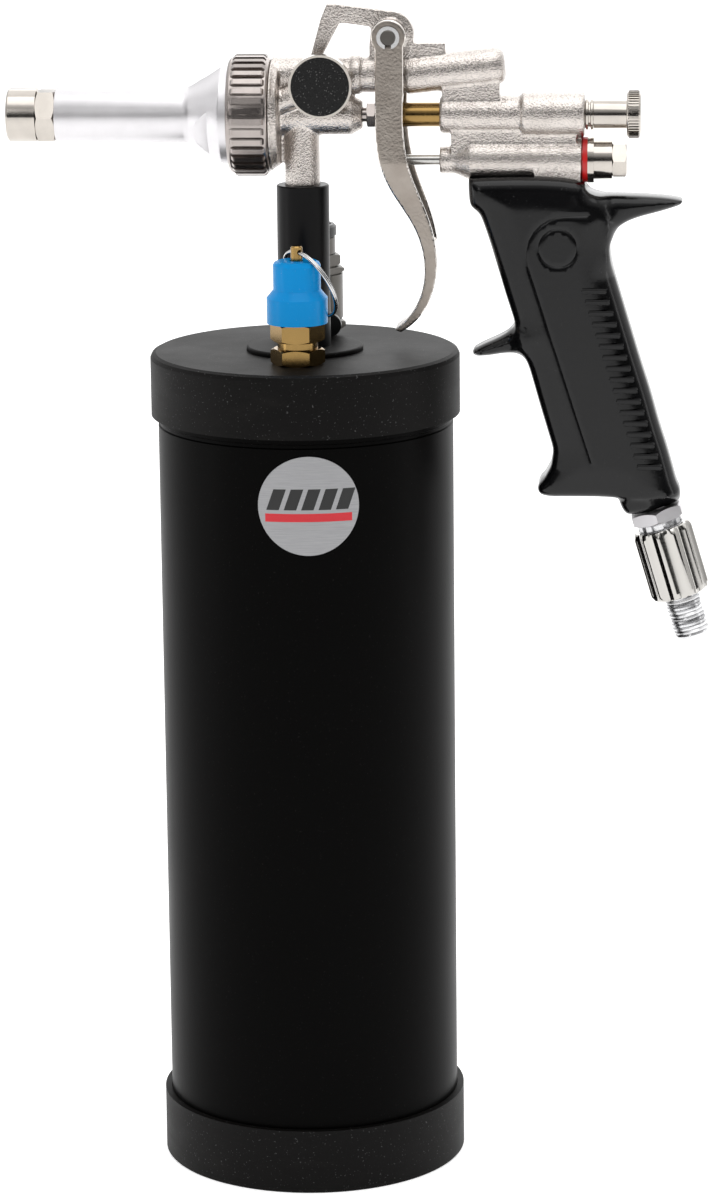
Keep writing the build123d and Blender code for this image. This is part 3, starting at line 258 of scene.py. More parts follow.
def machined(name, colour, roughness, lines=(600, 600, 600), depth=0.00002, shade=0.72):
    """A turned, ground or plated metal; lines sets the scale of its tool marks each way."""
    finish = Finish(name, colour, Metallic=1.0)
    marks = finish.noise(1, 3, 0.6, finish.place(scale=lines))
    cloud = finish.noise(140, 3)
    dark = tuple(c * shade for c in colour)
    finish.feed("Base Color", finish.blend(cloud, dark, colour))
    finish.feed("Roughness", roughness * 0.75 + roughness * 0.5 * marks + cloud * 0.05)
    finish.bump(marks, depth, 0.5)
    return finish.material


def rough_nickel():
    """Plated sand casting: warm nickel with a fine even sand grain that sparkles, and painted shade
    darkening the grain's hollows.
    """
    finish = Finish("rough_nickel", (0.6, 0.56, 0.52), Metallic=1.0)
    sand = finish.noise(1500, 2, 0.6)
    lumps = finish.noise(170, 2, 0.5)
    base = finish.blend(lumps, (0.46, 0.42, 0.39), (0.68, 0.635, 0.60))
    # painted shade: where the sand bump is low, the colour is darkened towards dark grey
    hollow_shade = finish.between(sand, 0.5, 0.36)
    finish.feed("Base Color", finish.blend(hollow_shade * 0.35, base, (0.2, 0.175, 0.16)))
    finish.feed("Roughness", 0.2 + 0.08 * lumps)
    finish.bump(sand + 0.3 * lumps, 0.00035, 0.75)
    return finish.material


def trigger_nickel():
    """Plated trigger: dark sandy flanks inside bright, polished edges; the flanks' darkness is
    partly sand and partly painted shade for the channel between the rims.
    """
    finish = Finish("trigger_nickel", (0.6, 0.56, 0.52), Metallic=1.0)
    facing = finish.parts(finish.add("ShaderNodeTexCoord", {}, {}, "Normal"))[1].size()
    flank = finish.between(facing, 0.86, 0.97)
    sand = finish.noise(1000, 2, 0.5)
    lumps = finish.noise(150, 2, 0.5)
    # partly painted shade: the flanks are darkened for the shaded channel between the rims, on top
    # of their sand colour
    sand_and_channel_shade = finish.blend(lumps, (0.22, 0.19, 0.165), (0.36, 0.325, 0.29))
    finish.feed("Base Color", finish.blend(flank, (0.74, 0.70, 0.66), sand_and_channel_shade))
    finish.feed("Roughness", 0.12 + 0.2 * flank + 0.08 * lumps)
    finish.bump(flank * sand, 0.00025, 0.6)
    return finish.material


def speckled_plastic():
    """The side knob's glossy black disc, flecked all over with grey."""
    finish = Finish("knob_disc", (0.003, 0.003, 0.003), Specular_IOR_Level=0.25)
    flecks = finish.between(finish.grains(1300), 0.3, 0.12)
    cloud = finish.between(finish.noise(500, 3), 0.4, 0.65)
    black, grey = (0.002, 0.002, 0.002), (0.16, 0.155, 0.15)
    finish.feed("Base Color", finish.blend(flecks * cloud, black, grey))
    finish.feed("Roughness", 0.22 + flecks * 0.25)
    finish.bump(finish.noise(800, 2), 0.00005, 0.6)
    return finish.material


def handle_plastic():
    """Glossy black moulding with a fine texture, faint cloudiness and dust."""
    finish = Finish("handle_plastic", (0.002, 0.002, 0.002), Specular_IOR_Level=0.3)
    cloud = finish.noise(45, 3)
    dust = finish.between(finish.noise(1400, 1), 0.7, 0.78)
    black = finish.blend(cloud, (0.0012, 0.0012, 0.0014), (0.004, 0.004, 0.0044))
    finish.feed("Base Color", finish.blend(dust * 0.35, black, (0.06, 0.06, 0.06)))
    finish.feed("Roughness", 0.13 + cloud * 0.1 + dust * 0.2)
    finish.bump(finish.noise(650, 2), 0.00005, 0.45)
    return finish.material


STEEL = (0.56, 0.55, 0.53)
NICKEL = (0.56, 0.52, 0.475)
FINISHES = {
    "tank_paint": tank_paint(),
    "cap_rubber": cap_rubber(),
    "black_steel": black_steel(),
    "label_silver": label_silver(),
    "seal_rubber": moulded("seal_rubber", (0.012, 0.012, 0.012), 0.5),
    "ptfe": moulded("ptfe", (0.75, 0.75, 0.73), 0.4),
    "brass": machined("brass", (0.33, 0.21, 0.075), 0.18, (900, 900, 900)),
    "blue_plastic": moulded(
        "blue_plastic", (0.0, 0.245, 0.60), 0.2, 500, 0.00004, Specular_IOR_Level=0.12
    ),
    "spring_steel": machined("spring_steel", (0.6, 0.6, 0.6), 0.14),
    "rough_nickel": rough_nickel(),
    "trigger_nickel": trigger_nickel(),
    "chrome_plate": machined("chrome_plate", (0.50, 0.485, 0.46), 0.1, depth=0.000008, shade=0.9),
    "black_plastic": moulded("black_plastic", (0.008, 0.008, 0.008), 0.3),
    "nickel_plate": machined("nickel_plate", NICKEL, 0.13, depth=0.00001),
    "dark_nickel": machined("dark_nickel", (0.40, 0.36, 0.34), 0.2),
    # dull_nickel: rough nickel darkened as painted shade, used for the fill valve parts and the
    # trigger pin in its recess
    "dull_nickel": machined("dull_nickel", (0.13, 0.122, 0.112), 0.32, (900, 900, 900), 0.00006),
    "polished_nickel": machined("polished_nickel", (0.7, 0.68, 0.64), 0.12, (300, 300, 300)),
    "turned_steel": machined("turned_steel", STEEL, 0.22),
    "satin_aluminium": machined(
        "satin_aluminium", (0.69, 0.675, 0.69), 0.36, (3500, 240, 240), 0.00003, 0.86
    ),
    "cut_aluminium": machined("cut_aluminium", (0.74, 0.74, 0.75), 0.24),
    "red_seal": moulded("red_seal", (0.5, 0.006, 0.006), 0.3),
    "handle_plastic": handle_plastic(),
    "knob_disc": speckled_plastic(),
}


# Darker finishes put over some CAD nodes; on the fill valve parts and the trigger pin the darkened
# dull_nickel is painted shade
DARKER_AND_SHADED_FINISHES = {
    "side_knob_disc": "knob_disc",
    "gland_nut": "dark_nickel",
    "fill_valve_body": "dull_nickel",
    "fill_coupling_body": "dull_nickel",
    "fill_coupling_sleeve": "dull_nickel",
    "trigger_pin": "dull_nickel",
}


def dress_cad_nodes():
    """Give every CAD node the finish of the slot it was packed with."""
    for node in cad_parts.values():
        slot = node.data.materials[0].name.split(".")[0]
        node.data.materials[0] = FINISHES[slot]
    # the fill valve parts and the trigger pin get painted shade here
    for name, finish in DARKER_AND_SHADED_FINISHES.items():
        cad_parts[name].data.materials[0] = FINISHES[finish]


# ---- building pieces ----


def middle(node):
    low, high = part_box(node)
    return (low + high) / 2


def frame_at(origin, along, across=(0, 1, 0)):
    """A matrix whose z runs along a piece's axis from origin, all in metres."""
    z = Vector(along).normalized()
    x = Vector(across).cross(z).normalized()
    y = z.cross(x)
    place = Matrix((x, y, z)).transposed().to_4x4()
    place.translation = origin
    return place


def finished(name, mesh, slot, body, *nodes, place=None, sharp=35, finish=None):
    """One finished piece at the origin: its place in its mesh, its finish, body and CAD nodes."""
    if place:
        mesh.transform(place)
    mesh.name = name
    mesh.materials.clear()
    mesh.materials.append(FINISHES[finish or slot])
    mesh.polygons.foreach_set("use_smooth", [True] * len(mesh.polygons))
    mesh.set_sharp_from_angle(angle=math.radians(sharp))
    piece = bpy.data.objects.new(name, mesh)
    bpy.context.scene.collection.objects.link(piece)
    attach(piece, body)
    if nodes:
        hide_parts(*nodes)
    return piece


def eased(profile, radius):
    """Round the corners of a closed (height, radius) profile, in mm."""
    rounded = []
    count = len(profile)
    for i, corner in enumerate(profile):
        here = Vector(corner)
        before = Vector(profile[i - 1]) - here
        after = Vector(profile[(i + 1) % count]) - here
        reach = min(radius, before.length * 0.45, after.length * 0.45)
        if here.y < 0.01 or before.angle(after) > 2.9:
            rounded.append(here)
            continue
        start = here + before.normalized() * reach
        end = here + after.normalized() * reach
        for t in (0.0, 0.33, 0.67, 1.0):
            rounded.append(start * (1 - t) ** 2 + here * 2 * t * (1 - t) + end * t**2)
    return [tuple(point) for point in rounded]


def turned(profile, ease=0.25, steps=96):
    """A mesh turned about z from a closed profile of (height, radius) in mm."""
    points = eased(profile, ease) if ease else profile
    shape = bmesh.new()
    rings = []
    for height, radius in points:
        if radius < 0.01:
            rings.append([shape.verts.new((0, 0, height * MM))] * steps)
            continue
        ring = []
        for step in range(steps):
            angle = 2 * math.pi * step / steps
            spot = (radius * math.cos(angle), radius * math.sin(angle), height)
            ring.append(shape.verts.new([c * MM for c in spot]))
        rings.append(ring)
    for i, ring in enumerate(rings):
        above = rings[(i + 1) % len(rings)]
        for step in range(steps):
            after = (step + 1) % steps
            corners = [ring[step], ring[after], above[after], above[step]]
            corners = list(dict.fromkeys(corners))
            if len(corners) > 2:
                shape.faces.new(corners)
    return closed(shape)


def closed(shape):
    """Merge what touches, face everything outwards and hand back a mesh."""
    bmesh.ops.remove_doubles(shape, verts=shape.verts, dist=1e-7)
    bmesh.ops.recalc_face_normals(shape, faces=shape.faces)
    mesh = bpy.data.meshes.new("piece")
    shape.to_mesh(mesh)
    shape.free()
    return mesh


def joined(*meshes):
    shape = bmesh.new()
    for mesh in meshes:
        shape.from_mesh(mesh)
    mesh = bpy.data.meshes.new("piece")
    shape.to_mesh(mesh)
    shape.free()
    return mesh


def prism(outline, half_width, bevel=0.0):
    """A bar from an (x, y) outline in mm, half_width each way along z, its edges bevelled."""
    shape = bmesh.new()
    low = [shape.verts.new((x * MM, y * MM, -half_width * MM)) for x, y in outline]
    high = [shape.verts.new((x * MM, y * MM, half_width * MM)) for x, y in outline]
    shape.faces.new(list(reversed(low)))
    shape.faces.new(high)
    for i in range(len(outline)):
        j = (i + 1) % len(outline)
        shape.faces.new([low[i], low[j], high[j], high[i]])
    if bevel:
        edges = list(shape.edges)
        bmesh.ops.bevel(shape, geom=edges, offset=bevel * MM, segments=2, affect="EDGES")
    return closed(shape)


class Pattern(Tree):
    """A geometry tree with named inputs, run on a mesh and then made plain."""

    def __init__(self, name, **inputs):
        self.group = bpy.data.node_groups.new(name, "GeometryNodeTree")
        super().__init__(self.group)
        self.socket("Piece", "NodeSocketGeometry")
        for key, kind in inputs.items():
            self.socket(key, f"NodeSocket{kind}")
        self.group.interface.new_socket("Piece", in_out="OUTPUT", socket_type="NodeSocketGeometry")
        self.given = self.group.nodes.new("NodeGroupInput")

    def socket(self, name, kind):
        self.group.interface.new_socket(name, in_out="INPUT", socket_type=kind)

    def get(self, name):
        return Socket(self, self.given.outputs[name])

    def end(self, *pieces):
        join = self.group.nodes.new("GeometryNodeJoinGeometry")
        for piece in pieces:
            self.group.links.new(piece.output, join.inputs[0])
        whole = self.add("GeometryNodeRealizeInstances", {}, {0: Socket(self, join.outputs[0])})
        coated = self.add("GeometryNodeSetMaterial", {}, {0: whole, 2: self.get("Finish")})
        out = self.group.nodes.new("NodeGroupOutput")
        self.group.links.new(coated.output, out.inputs[0])

    def run(self, mesh, **values):
        """The pattern grown on a mesh, as a new plain mesh."""
        piece = bpy.data.objects.new("pattern", mesh)
        bpy.context.scene.collection.objects.link(piece)
        grower = piece.modifiers.new("pattern", "NODES")
        grower.node_group = self.group
        for item in self.group.interface.items_tree:
            if item.in_out == "INPUT" and item.name in values:
                grower[item.identifier] = values[item.name]
        view = bpy.context.evaluated_depsgraph_get()
        plain = bpy.data.meshes.new_from_object(piece.evaluated_get(view))
        piece.modifiers.remove(grower)
        bpy.data.objects.remove(piece)
        return plain


def ring_pattern():
    """Copies of a tooth set round the z axis, each turned to face outwards."""
    tree = Pattern(
        "teeth_round", Tooth="Object", Count="Int", Radius="Float", Finish="Material"
    )
    count = tree.get("Count")
    inputs = {"Vertices": count, "Radius": tree.get("Radius")}
    circle = tree.add("GeometryNodeMeshCircle", {}, inputs)
    index = tree.add("GeometryNodeInputIndex", {}, {})
    turn = tree.add("ShaderNodeCombineXYZ", {}, {2: index * (2 * math.pi) / count})
    tooth = tree.add("GeometryNodeObjectInfo", {}, {0: tree.get("Tooth")}, "Geometry")
    inputs = {"Points": circle, "Instance": tooth, "Rotation": turn}
    teeth = tree.add("GeometryNodeInstanceOnPoints", {}, inputs)
    tree.end(tree.get("Piece"), teeth)
    return tree


def row_pattern():
    """Copies of one rib in a straight row from a first place, a fixed step apart."""
    tree = Pattern(
        "ribs_in_row", Rib="Object", Count="Int", First="Vector", Step="Vector", Finish="Material"
    )
    first, step = tree.get("First"), tree.get("Step")
    inputs = {"Count": tree.get("Count"), "Start Location": first, "Offset": step}
    row = tree.add("GeometryNodeMeshLine", {}, inputs)
    rib = tree.add("GeometryNodeObjectInfo", {}, {0: tree.get("Rib")}, "Geometry")
    ribs = tree.add("GeometryNodeInstanceOnPoints", {}, {"Points": row, "Instance": rib})
    tree.end(tree.get("Piece"), ribs)
    return tree


def helix_pattern():
    """A wire wound round the z axis: a thread's crest, or a split ring."""
    tree = Pattern(
        "wound_wire", Turns="Float", Radius="Float", Rise="Float", Wire="Float",
        Sides="Int", Steps="Int", Finish="Material",
    )
    inputs = {
        "Resolution": tree.get("Steps"),
        "Rotations": tree.get("Turns"),
        "Start Radius": tree.get("Radius"),
        "End Radius": tree.get("Radius"),
        "Height": tree.get("Rise"),
    }
    path = tree.add("GeometryNodeCurveSpiral", {}, inputs)
    circle = {"Resolution": tree.get("Sides"), "Radius": tree.get("Wire")}
    wire = tree.add("GeometryNodeCurvePrimitiveCircle", {}, circle)
    inputs = {"Curve": path, "Profile Curve": wire, "Fill Caps": True}
    wound = tree.add("GeometryNodeCurveToMesh", {}, inputs)
    tree.end(tree.get("Piece"), wound)
    return tree


TEETH = ring_pattern()
RIBS = row_pattern()
WOUND = helix_pattern()


def grown(pattern, core, finish, unit=None, **values):
    """Run a pattern on a core mesh, its repeated unit lent to it as a short-lived object."""
    lent = None
    if unit is not None:
        lent = bpy.data.objects.new("unit", unit)
        bpy.context.scene.collection.objects.link(lent)
        values["Rib" if pattern is RIBS else "Tooth"] = lent
    mesh = pattern.run(core, Finish=FINISHES[finish], **values)
    if lent:
        bpy.data.objects.remove(lent)
    return mesh


# ---- places ----

AXIS = middle("ring_nut").z
ALONG_GUN = frame_at((0, 0, AXIS), (1, 0, 0))
SLEEVE_MIDDLE = middle("flow_sleeve")
DOWN_INLET = Vector((math.sin(math.radians(INLET_TILT)), 0, -math.cos(math.radians(INLET_TILT))))


# ---- the gun's turned and toothed pieces ----


def ring_nut():
    """Union nut with square splines all round."""
    low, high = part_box("ring_nut")
    front, end = low.x / MM, high.x / MM
    outer = (high.z - low.z) / 2 / MM
    root = outer - 1.1
    profile = [
        (front, 17.5), (front, root - 1.2), (front + 1.0, root), (end - 0.8, root),
        (end, root - 0.8), (end, 18.7), (front + 4, 18.7), (front + 4, 17.5),
    ]
    tooth = [
        (-1.6, front + 1.2), (0, front + 2.6), (0, end - 1.9), (-1.3, end - 0.9),
        (-2, end - 0.9), (-2, front + 1.2),
    ]
    shape = prism(tooth, 1.2, 0.22)
    shape.transform(Matrix.Rotation(math.pi / 2, 4, "X"))
    core = turned(profile, 0.3, 144)
    mesh = grown(TEETH, core, "dark_nickel", shape, Count=NUT_SPLINES, Radius=outer * MM)
    finished("ring_nut_splined", mesh, "dark_nickel", "ring_nut", "ring_nut", place=ALONG_GUN)


def adjuster_knob():
    """Needle adjuster: threaded root, plain shank and a ridged head."""
    low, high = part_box("adjuster_knob")
    end = high.x / MM
    head = end - 5.0
    root = (high.z - low.z) / 2 / MM - 0.45
    start = low.x / MM
    profile = [
        (start, 2.2), (start, 4.95), (102.4, 4.95), (102.4, 5.6), (103.3, 5.6), (103.3, 4.7),
        (104.1, 4.7), (104.1, 5.6), (105.0, 5.6), (105.2, 5.2), (head, 5.2), (head, root - 0.4),
        (head + 0.5, root), (end - 0.6, root), (end, root - 0.7), (end, 0), (110, 0), (110, 2.2),
    ]
    side = [(-0.7, head + 0.35), (0, head + 0.8), (0, end - 0.8), (-0.7, end - 0.35)]
    ridge = prism(side, 0.27, 0.1)
    ridge.transform(Matrix.Rotation(math.pi / 2, 4, "X"))
    core = turned(profile, 0.2)
    values = {"Count": ADJUSTER_RIDGES, "Radius": (root + 0.45) * MM}
    mesh = grown(TEETH, core, "nickel_plate", ridge, **values)
    finished("adjuster_ridged", mesh, "nickel_plate", "adjuster", "adjuster_knob", place=ALONG_GUN)


def milled(mesh, outwards, away, start, stop):
    """Cut a flat on a turned piece, away mm from its axis, between two heights."""
    shape = bmesh.new()
    bmesh.ops.create_cube(shape, size=1)
    across = Vector((0, 0, 1)).cross(outwards)
    for vert in shape.verts:
        u, v, w = vert.co
        spot = outwards * (away + 10 + 20 * u) + across * 60 * v
        vert.co = (spot + Vector((0, 0, (start + stop) / 2 + (stop - start) * w))) * MM
    cutter = bpy.data.objects.new("cutter", closed(shape))
    piece = bpy.data.objects.new("milled", mesh)
    for thing in (cutter, piece):
        bpy.context.scene.collection.objects.link(thing)
    cut = piece.modifiers.new("cut", "BOOLEAN")
    cut.object = cutter
    cut.solver = "EXACT"
    view = bpy.context.evaluated_depsgraph_get()
    plain = bpy.data.meshes.new_from_object(piece.evaluated_get(view))
    bpy.data.objects.remove(piece)
    bpy.data.objects.remove(cutter)
    return plain


def riser_flange():
    """The thin black washer that the riser stands on."""
    low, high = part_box("riser_flange")
    base, top = low.z / MM, high.z / MM
    profile = [
        (base, 8.1), (base, WASHER_R), (top - 0.5, WASHER_R), (top, WASHER_R - 0.5), (top, 8.1),
    ]
    mesh = turned(profile, 0.3, 128)
    finished(
        "riser_washer", mesh, "black_steel", "tank", "riser_flange", finish="cap_rubber"
    )


def nozzle_tube():
    """Satin aluminium tube that flares into the union, with one milled flat each side."""
    low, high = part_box("nozzle_tube")
    front, end = low.x / MM, high.x / MM
    outside = [
        (front, 7.0), (front, 10.0), (-42.5, 10.0), (-41.7, 10.05), (-40.4, 10.4), (-38.6, 11.4),
        (-36.9, 12.5), (-33.3, 14.5), (-29.7, 16.9), (-28.8, 17.4), (-21.95, 17.4),
        (-21.95, 18.3), (end, 18.3),
    ]
    inside = [(end, 16.6), (-26, 15.5), (-36, 7.0)]
    mesh = turned(outside + inside, 0.3, 128)
    turn = math.radians(FLAT_TURN)
    for side in (-1, 1):
        outwards = Vector((math.sin(turn), -math.cos(turn), 0)) * side
        mesh = milled(mesh, outwards, FLAT_AWAY, -46.0, -33.0)
    finished("nozzle_tube_flared", mesh, "satin_aluminium", "tank", "nozzle_tube", place=ALONG_GUN)


def softened(name, node, slot, body, voxel, rounds, ratio=1.0, finish=None):
    """A CAD node recast with soft edges and filled corners, as a casting has them."""
    shape = bmesh.new()
    shape.from_mesh(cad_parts[node].data)
    mesh = closed(shape)
    piece = bpy.data.objects.new(name, mesh)
    bpy.context.scene.collection.objects.link(piece)
    cast = piece.modifiers.new("cast", "REMESH")
    cast.mode = "VOXEL"
    cast.voxel_size = voxel * MM
    soften = piece.modifiers.new("soften", "SMOOTH")
    soften.factor = 0.5
    soften.iterations = rounds
    if ratio < 1:
        thin = piece.modifiers.new("thin", "DECIMATE")
        thin.ratio = ratio
    view = bpy.context.evaluated_depsgraph_get()
    plain = bpy.data.meshes.new_from_object(piece.evaluated_get(view))
    bpy.data.objects.remove(piece)
    return finished(name, plain, slot, body, node, sharp=60, finish=finish)


# ---- handle ----

HANDLE_FRONT = [
    (60.6, 369.6), (60.4, 367.5), (60.4, 365.3), (60.7, 360.9), (61.4, 358.8), (64.4, 356.6),
    (66.1, 352.2), (68.3, 345.6), (71.5, 334.7), (74.7, 323.7), (76.9, 317.1), (76.5, 314.9),
    (74.5, 312.6), (70.5, 310.4), (65.4, 308.2), (61.4, 306.0), (61.6, 304.7), (62.1, 303.8),
    (66.1, 303.8), (74.1, 305.1), (78.5, 304.7), (80.3, 303.8), (81.6, 301.6), (83.0, 297.2),
    (86.1, 286.1), (89.4, 274.9), (90.7, 270.5), (90.5, 268.2), (89.9, 263.8), (88.6, 261.5),
    (87.5, 259.3), (85.3, 257.0), (85.0, 255.1), (86.1, 253.3), (90.1, 252.5),
]
HANDLE_FOOT = [(94.9, 252.6), (114.2, 252.5), (115.0, 249.7), (116.4, 246.7), (118.6, 245.2)]
HANDLE_FOOT += [(131.1, 247.5), (135.8, 249.8), (137.2, 250.9)]
HANDLE_REAR = [
    (136.9, 255.0), (135.7, 257.2), (133.9, 263.9), (132.0, 270.6), (129.1, 279.5), (126.1, 290.6),
    (122.5, 301.7), (119.2, 312.7), (115.9, 323.7), (112.6, 334.7), (111.5, 339.1), (111.1, 343.5),
    (111.5, 345.7), (113.3, 350.0), (115.8, 352.2), (120.5, 354.4), (129.1, 356.6), (135.9, 358.7),
    (137.3, 359.8), (137.0, 360.9), (129.1, 362.0), (115.7, 362.6), (103.5, 362.6), (101.3, 369.6),
]
PANEL_LINE = [
    (103.0, 356.2), (96.0, 356.0), (92.2, 355.6), (89.2, 354.6), (86.4, 352.9), (84.0, 350.4),
    (82.2, 347.2), (81.4, 343.6), (81.3, 340.4), (81.7, 337.4), (105.2, 264.5),
]
EMBLEM = Vector((92.5, 344.5))
HANDLE_HALF = 12.0
SPUR_HALF = 8.0
EDGE_R = 4.4
PALM_EXTRA = 4.4


def smoothed(points, rounds=2):
    """Cut the corners of a closed outline, which leaves one flowing line."""
    for _ in range(rounds):
        cut = []
        for i, point in enumerate(points):
            after = Vector(points[(i + 1) % len(points)])
            here = Vector(point)
            cut += [here.lerp(after, 0.25), here.lerp(after, 0.75)]
        points = cut
    return points


def resampled(points, step):
    """The same closed outline with points an even step apart."""
    out = []
    carry = 0.0
    for i, point in enumerate(points):
        here = Vector(point)
        after = Vector(points[(i + 1) % len(points)])
        length = (after - here).length
        while carry < length:
            out.append(here.lerp(after, carry / length))
            carry += step
        carry -= length
    return out


def nearest(point, line):
    """How far a point is from a run of straight pieces."""
    best = 1e9
    for a, b in zip(line, line[1:]):
        ab = b - a
        t = max(0.0, min(1.0, (point - a).dot(ab) / max(ab.length_squared, 1e-9)))
        best = min(best, (point - a - ab * t).length_squared)
    return math.sqrt(best)


def eased_step(value, low, high):
    t = max(0.0, min(1.0, (value - low) / (high - low)))
    return t * t * (3 - 2 * t)


def half_width(x, z):
    """The handle's half thickness: slimmer in the guard spur, the hand stop and the foot."""
    lean = x + (z - 339.1) * 0.292
    front = eased_step(71.5 + (334.7 - z) * 0.298 - x, -1.0, 4.0) * eased_step(330 - z, 0, 8)
    front *= eased_step(z - 292, 0, 8)
    back = eased_step(lean - 112.5, 0, 6) * eased_step(z - 335, 0, 8)
    foot = eased_step(252.6 - z, -0.5, 1.5)
    return HANDLE_HALF - (HANDLE_HALF - SPUR_HALF) * max(front, back, 0.55 * foot)


def edge_radius(x, z):
    """How far the handle's edge is rounded: most along the palm side of the grip."""
    lean = x + (z - 339.1) * 0.292
    return EDGE_R + PALM_EXTRA * eased_step(lean - 98, 0, 7) * eased_step(341 - z, 0, 9)


def handle():
    """The grip, raised from its side view with rounded edges, a panel line and a plain badge."""
    loop = resampled(smoothed(HANDLE_FRONT + HANDLE_FOOT + HANDLE_REAR), 1.0)
    edge = loop + [loop[0]]
    count = len(loop)
    points = list(loop)
    for reach in (0.18, 0.55, 1.1, 1.9, 2.9, 3.9):
        for i in range(count):
            side = (loop[(i + 1) % count] - loop[i - 1]).normalized()
            spot = loop[i] + Vector((-side.y, side.x)) * reach
            if nearest(spot, edge) > reach * 0.93 and i % (1 if reach < 2 else 2) == 0:
                points.append(spot)
    panel = [Vector(p) for p in PANEL_LINE]
    xs = [p.x for p in loop]
    zs = [p.y for p in loop]
    step = 1.5
    row = 0
    z = min(zs)
    fine = []
    while z < max(zs):
        x = min(xs) + (step / 2 if row % 2 else 0)
        while x < max(xs):
            spot = Vector((x, z))
            if nearest(spot, edge) > 4.5:
                fine.append(spot)
            x += step
        z += step * 0.87
        row += 1
    for spot in fine:
        if nearest(spot, panel) > 1.3 and abs((spot - EMBLEM).length - 6.9) > 1.2:
            points.append(spot)
    for a, b in zip(panel, panel[1:]):
        steps = max(1, int((b - a).length / 0.9))
        aside = Vector((a.y - b.y, b.x - a.x)).normalized()
        for k in range(steps):
            for off in (-0.9, -0.35, 0, 0.35, 0.9):
                points.append(a.lerp(b, k / steps) + aside * off)
    for k in range(60):
        angle = 2 * math.pi * k / 60
        for off in (-0.8, -0.3, 0, 0.3, 0.8):
            away = 6.9 + off
            points.append(EMBLEM + Vector((math.cos(angle), math.sin(angle))) * away)
    rim = [(i, (i + 1) % count) for i in range(count)]
    flat = delaunay_2d_cdt(points, rim, [list(range(count))], 1, 0.02)
    verts, faces = flat[0], flat[2]
    shape = bmesh.new()
    sides = []
    for sign in (-1, 1):
        placed = []
        for spot in verts:
            depth = nearest(spot, edge)
            half = half_width(spot.x, spot.y)
            bend = edge_radius(spot.x, spot.y)
            inset = min(depth, bend)
            lift = half - bend + math.sqrt(max(0.0, bend**2 - (bend - inset) ** 2))
            lift += 0.8 * eased_step(depth, 3, 12)
            if depth > 2:
                lift -= 0.45 * max(0.0, 1 - nearest(spot, panel) / 0.7)
                lift -= 0.4 * max(0.0, 1 - abs((spot - EMBLEM).length - 6.9) / 0.6)
            placed.append(shape.verts.new((spot.x * MM, sign * lift * MM, spot.y * MM)))
        sides.append(placed)
        for face in faces:
            shape.faces.new([placed[i] for i in face])
    outer = [e for e in shape.edges if len(e.link_faces) == 1]
    bmesh.ops.bridge_loops(shape, edges=outer)
    return closed(shape)


def handle_piece():
    """The moulding with a row of thumb ribs on each side."""
    section = [(-1.0, -1.35), (0.75, -0.75), (0.75, 0.75), (-1.0, 1.35)]
    rib = prism(section, RIB_HALF_LENGTH, 0.3)
    mesh = handle()
    step = Vector((20.1, 0, -64.5)) / (RIBS_EACH_SIDE - 1) * MM
    for side in (-1, 1):
        turn = Matrix(((0, 0, side), (side, 0, 0), (0, 1, 0))).to_4x4()
        unit = rib.copy()
        unit.transform(turn)
        first = Vector((105.6, side * 12.95, 329.0)) * MM
        values = {"Count": RIBS_EACH_SIDE, "First": first, "Step": step}
        mesh = grown(RIBS, mesh, "handle_plastic", unit, **values)
    finished("handle_moulding", mesh, "handle_plastic", "tank", "handle", sharp=50)


# ---- air inlet ----


def fluted_sleeve():
    """The turning sleeve, with hollow flutes that run out through both chamfered ends."""
    start, stop, wide = 7.9, 34.0, 11.0
    rows = [
        (start, 8.45), (start, wide - 1.3), (start + 0.4, wide - 0.8), (start + 1.8, wide - 0.1),
        (start + 2.3, wide), (stop - 2.3, wide), (stop - 1.8, wide - 0.1), (stop - 0.4, wide - 0.8),
        (stop, wide - 1.3), (stop, 8.45),
    ]
    steps = FLUTES * FLUTE_STEPS
    shape = bmesh.new()
    rings = []
    for height, radius in rows:
        ring = []
        for k in range(steps):
            angle = 2 * math.pi * k / steps
            off = ((k / FLUTE_STEPS + 0.5) % 1 - 0.5) * 2 * math.pi * wide / FLUTES
            hollow = wide - FLUTE_DEPTH * max(0.0, 1 - (off / FLUTE_HALF) ** 2)
            reach = min(radius, hollow)
            spot = (reach * math.cos(angle), reach * math.sin(angle), height)
            ring.append(shape.verts.new([c * MM for c in spot]))
        rings.append(ring)
    for i, ring in enumerate(rings):
        above = rings[(i + 1) % len(rings)]
        for k in range(steps):
            after = (k + 1) % steps
            shape.faces.new([ring[k], ring[after], above[after], above[k]])
    return closed(shape)


def inlet():
    """Castellated neck and threaded tail, and the fluted sleeve that turns between them."""
    length = 26.1
    place = frame_at(SLEEVE_MIDDLE - DOWN_INLET * (length / 2 + 7.9) * MM, DOWN_INLET)
    neck, sleeve, tail = 5.2, 7.8, 34.1
    end = tail + 15.5
    profile = [
        (neck, 4.0), (neck, 7.4), (neck + 0.6, 7.4), (neck + 0.6, 6.9), (sleeve, 6.9), (sleeve, 8.4),
        (tail, 8.4), (tail, 5.6), (tail + 1.4, 5.6), (tail + 1.4, 5.9), (end, 5.9), (end + 0.8, 5.2),
        (end + 0.8, 4.0),
    ]
    low, high = neck + 0.3, sleeve - 0.2
    merlon = prism([(-1.6, low), (0, low), (0, high), (-1.6, high)], 1.3, 0.15)
    merlon.transform(Matrix.Rotation(math.pi / 2, 4, "X"))
    values = {"Count": NECK_MERLONS, "Radius": 8.1 * MM}
    core = grown(TEETH, turned(profile, 0.2), "nickel_plate", merlon, **values)
    crest = WOUND.run(
        bpy.data.meshes.new("none"), Turns=10.4, Radius=5.95 * MM, Rise=13.6 * MM, Wire=0.62 * MM,
        Sides=6, Steps=36, Finish=FINISHES["nickel_plate"],
    )
    crest.transform(Matrix.Translation((0, 0, (tail + 1.6) * MM)))
    finished(
        "inlet_threaded", joined(core, crest), "nickel_plate", "tank", "inlet_core",
        place=place, finish="cut_aluminium",
    )
    mesh = fluted_sleeve()
    finished("flow_sleeve_fluted", mesh, "chrome_plate", "flow_sleeve", "flow_sleeve", place=place)


# ---- relief valve ring ----


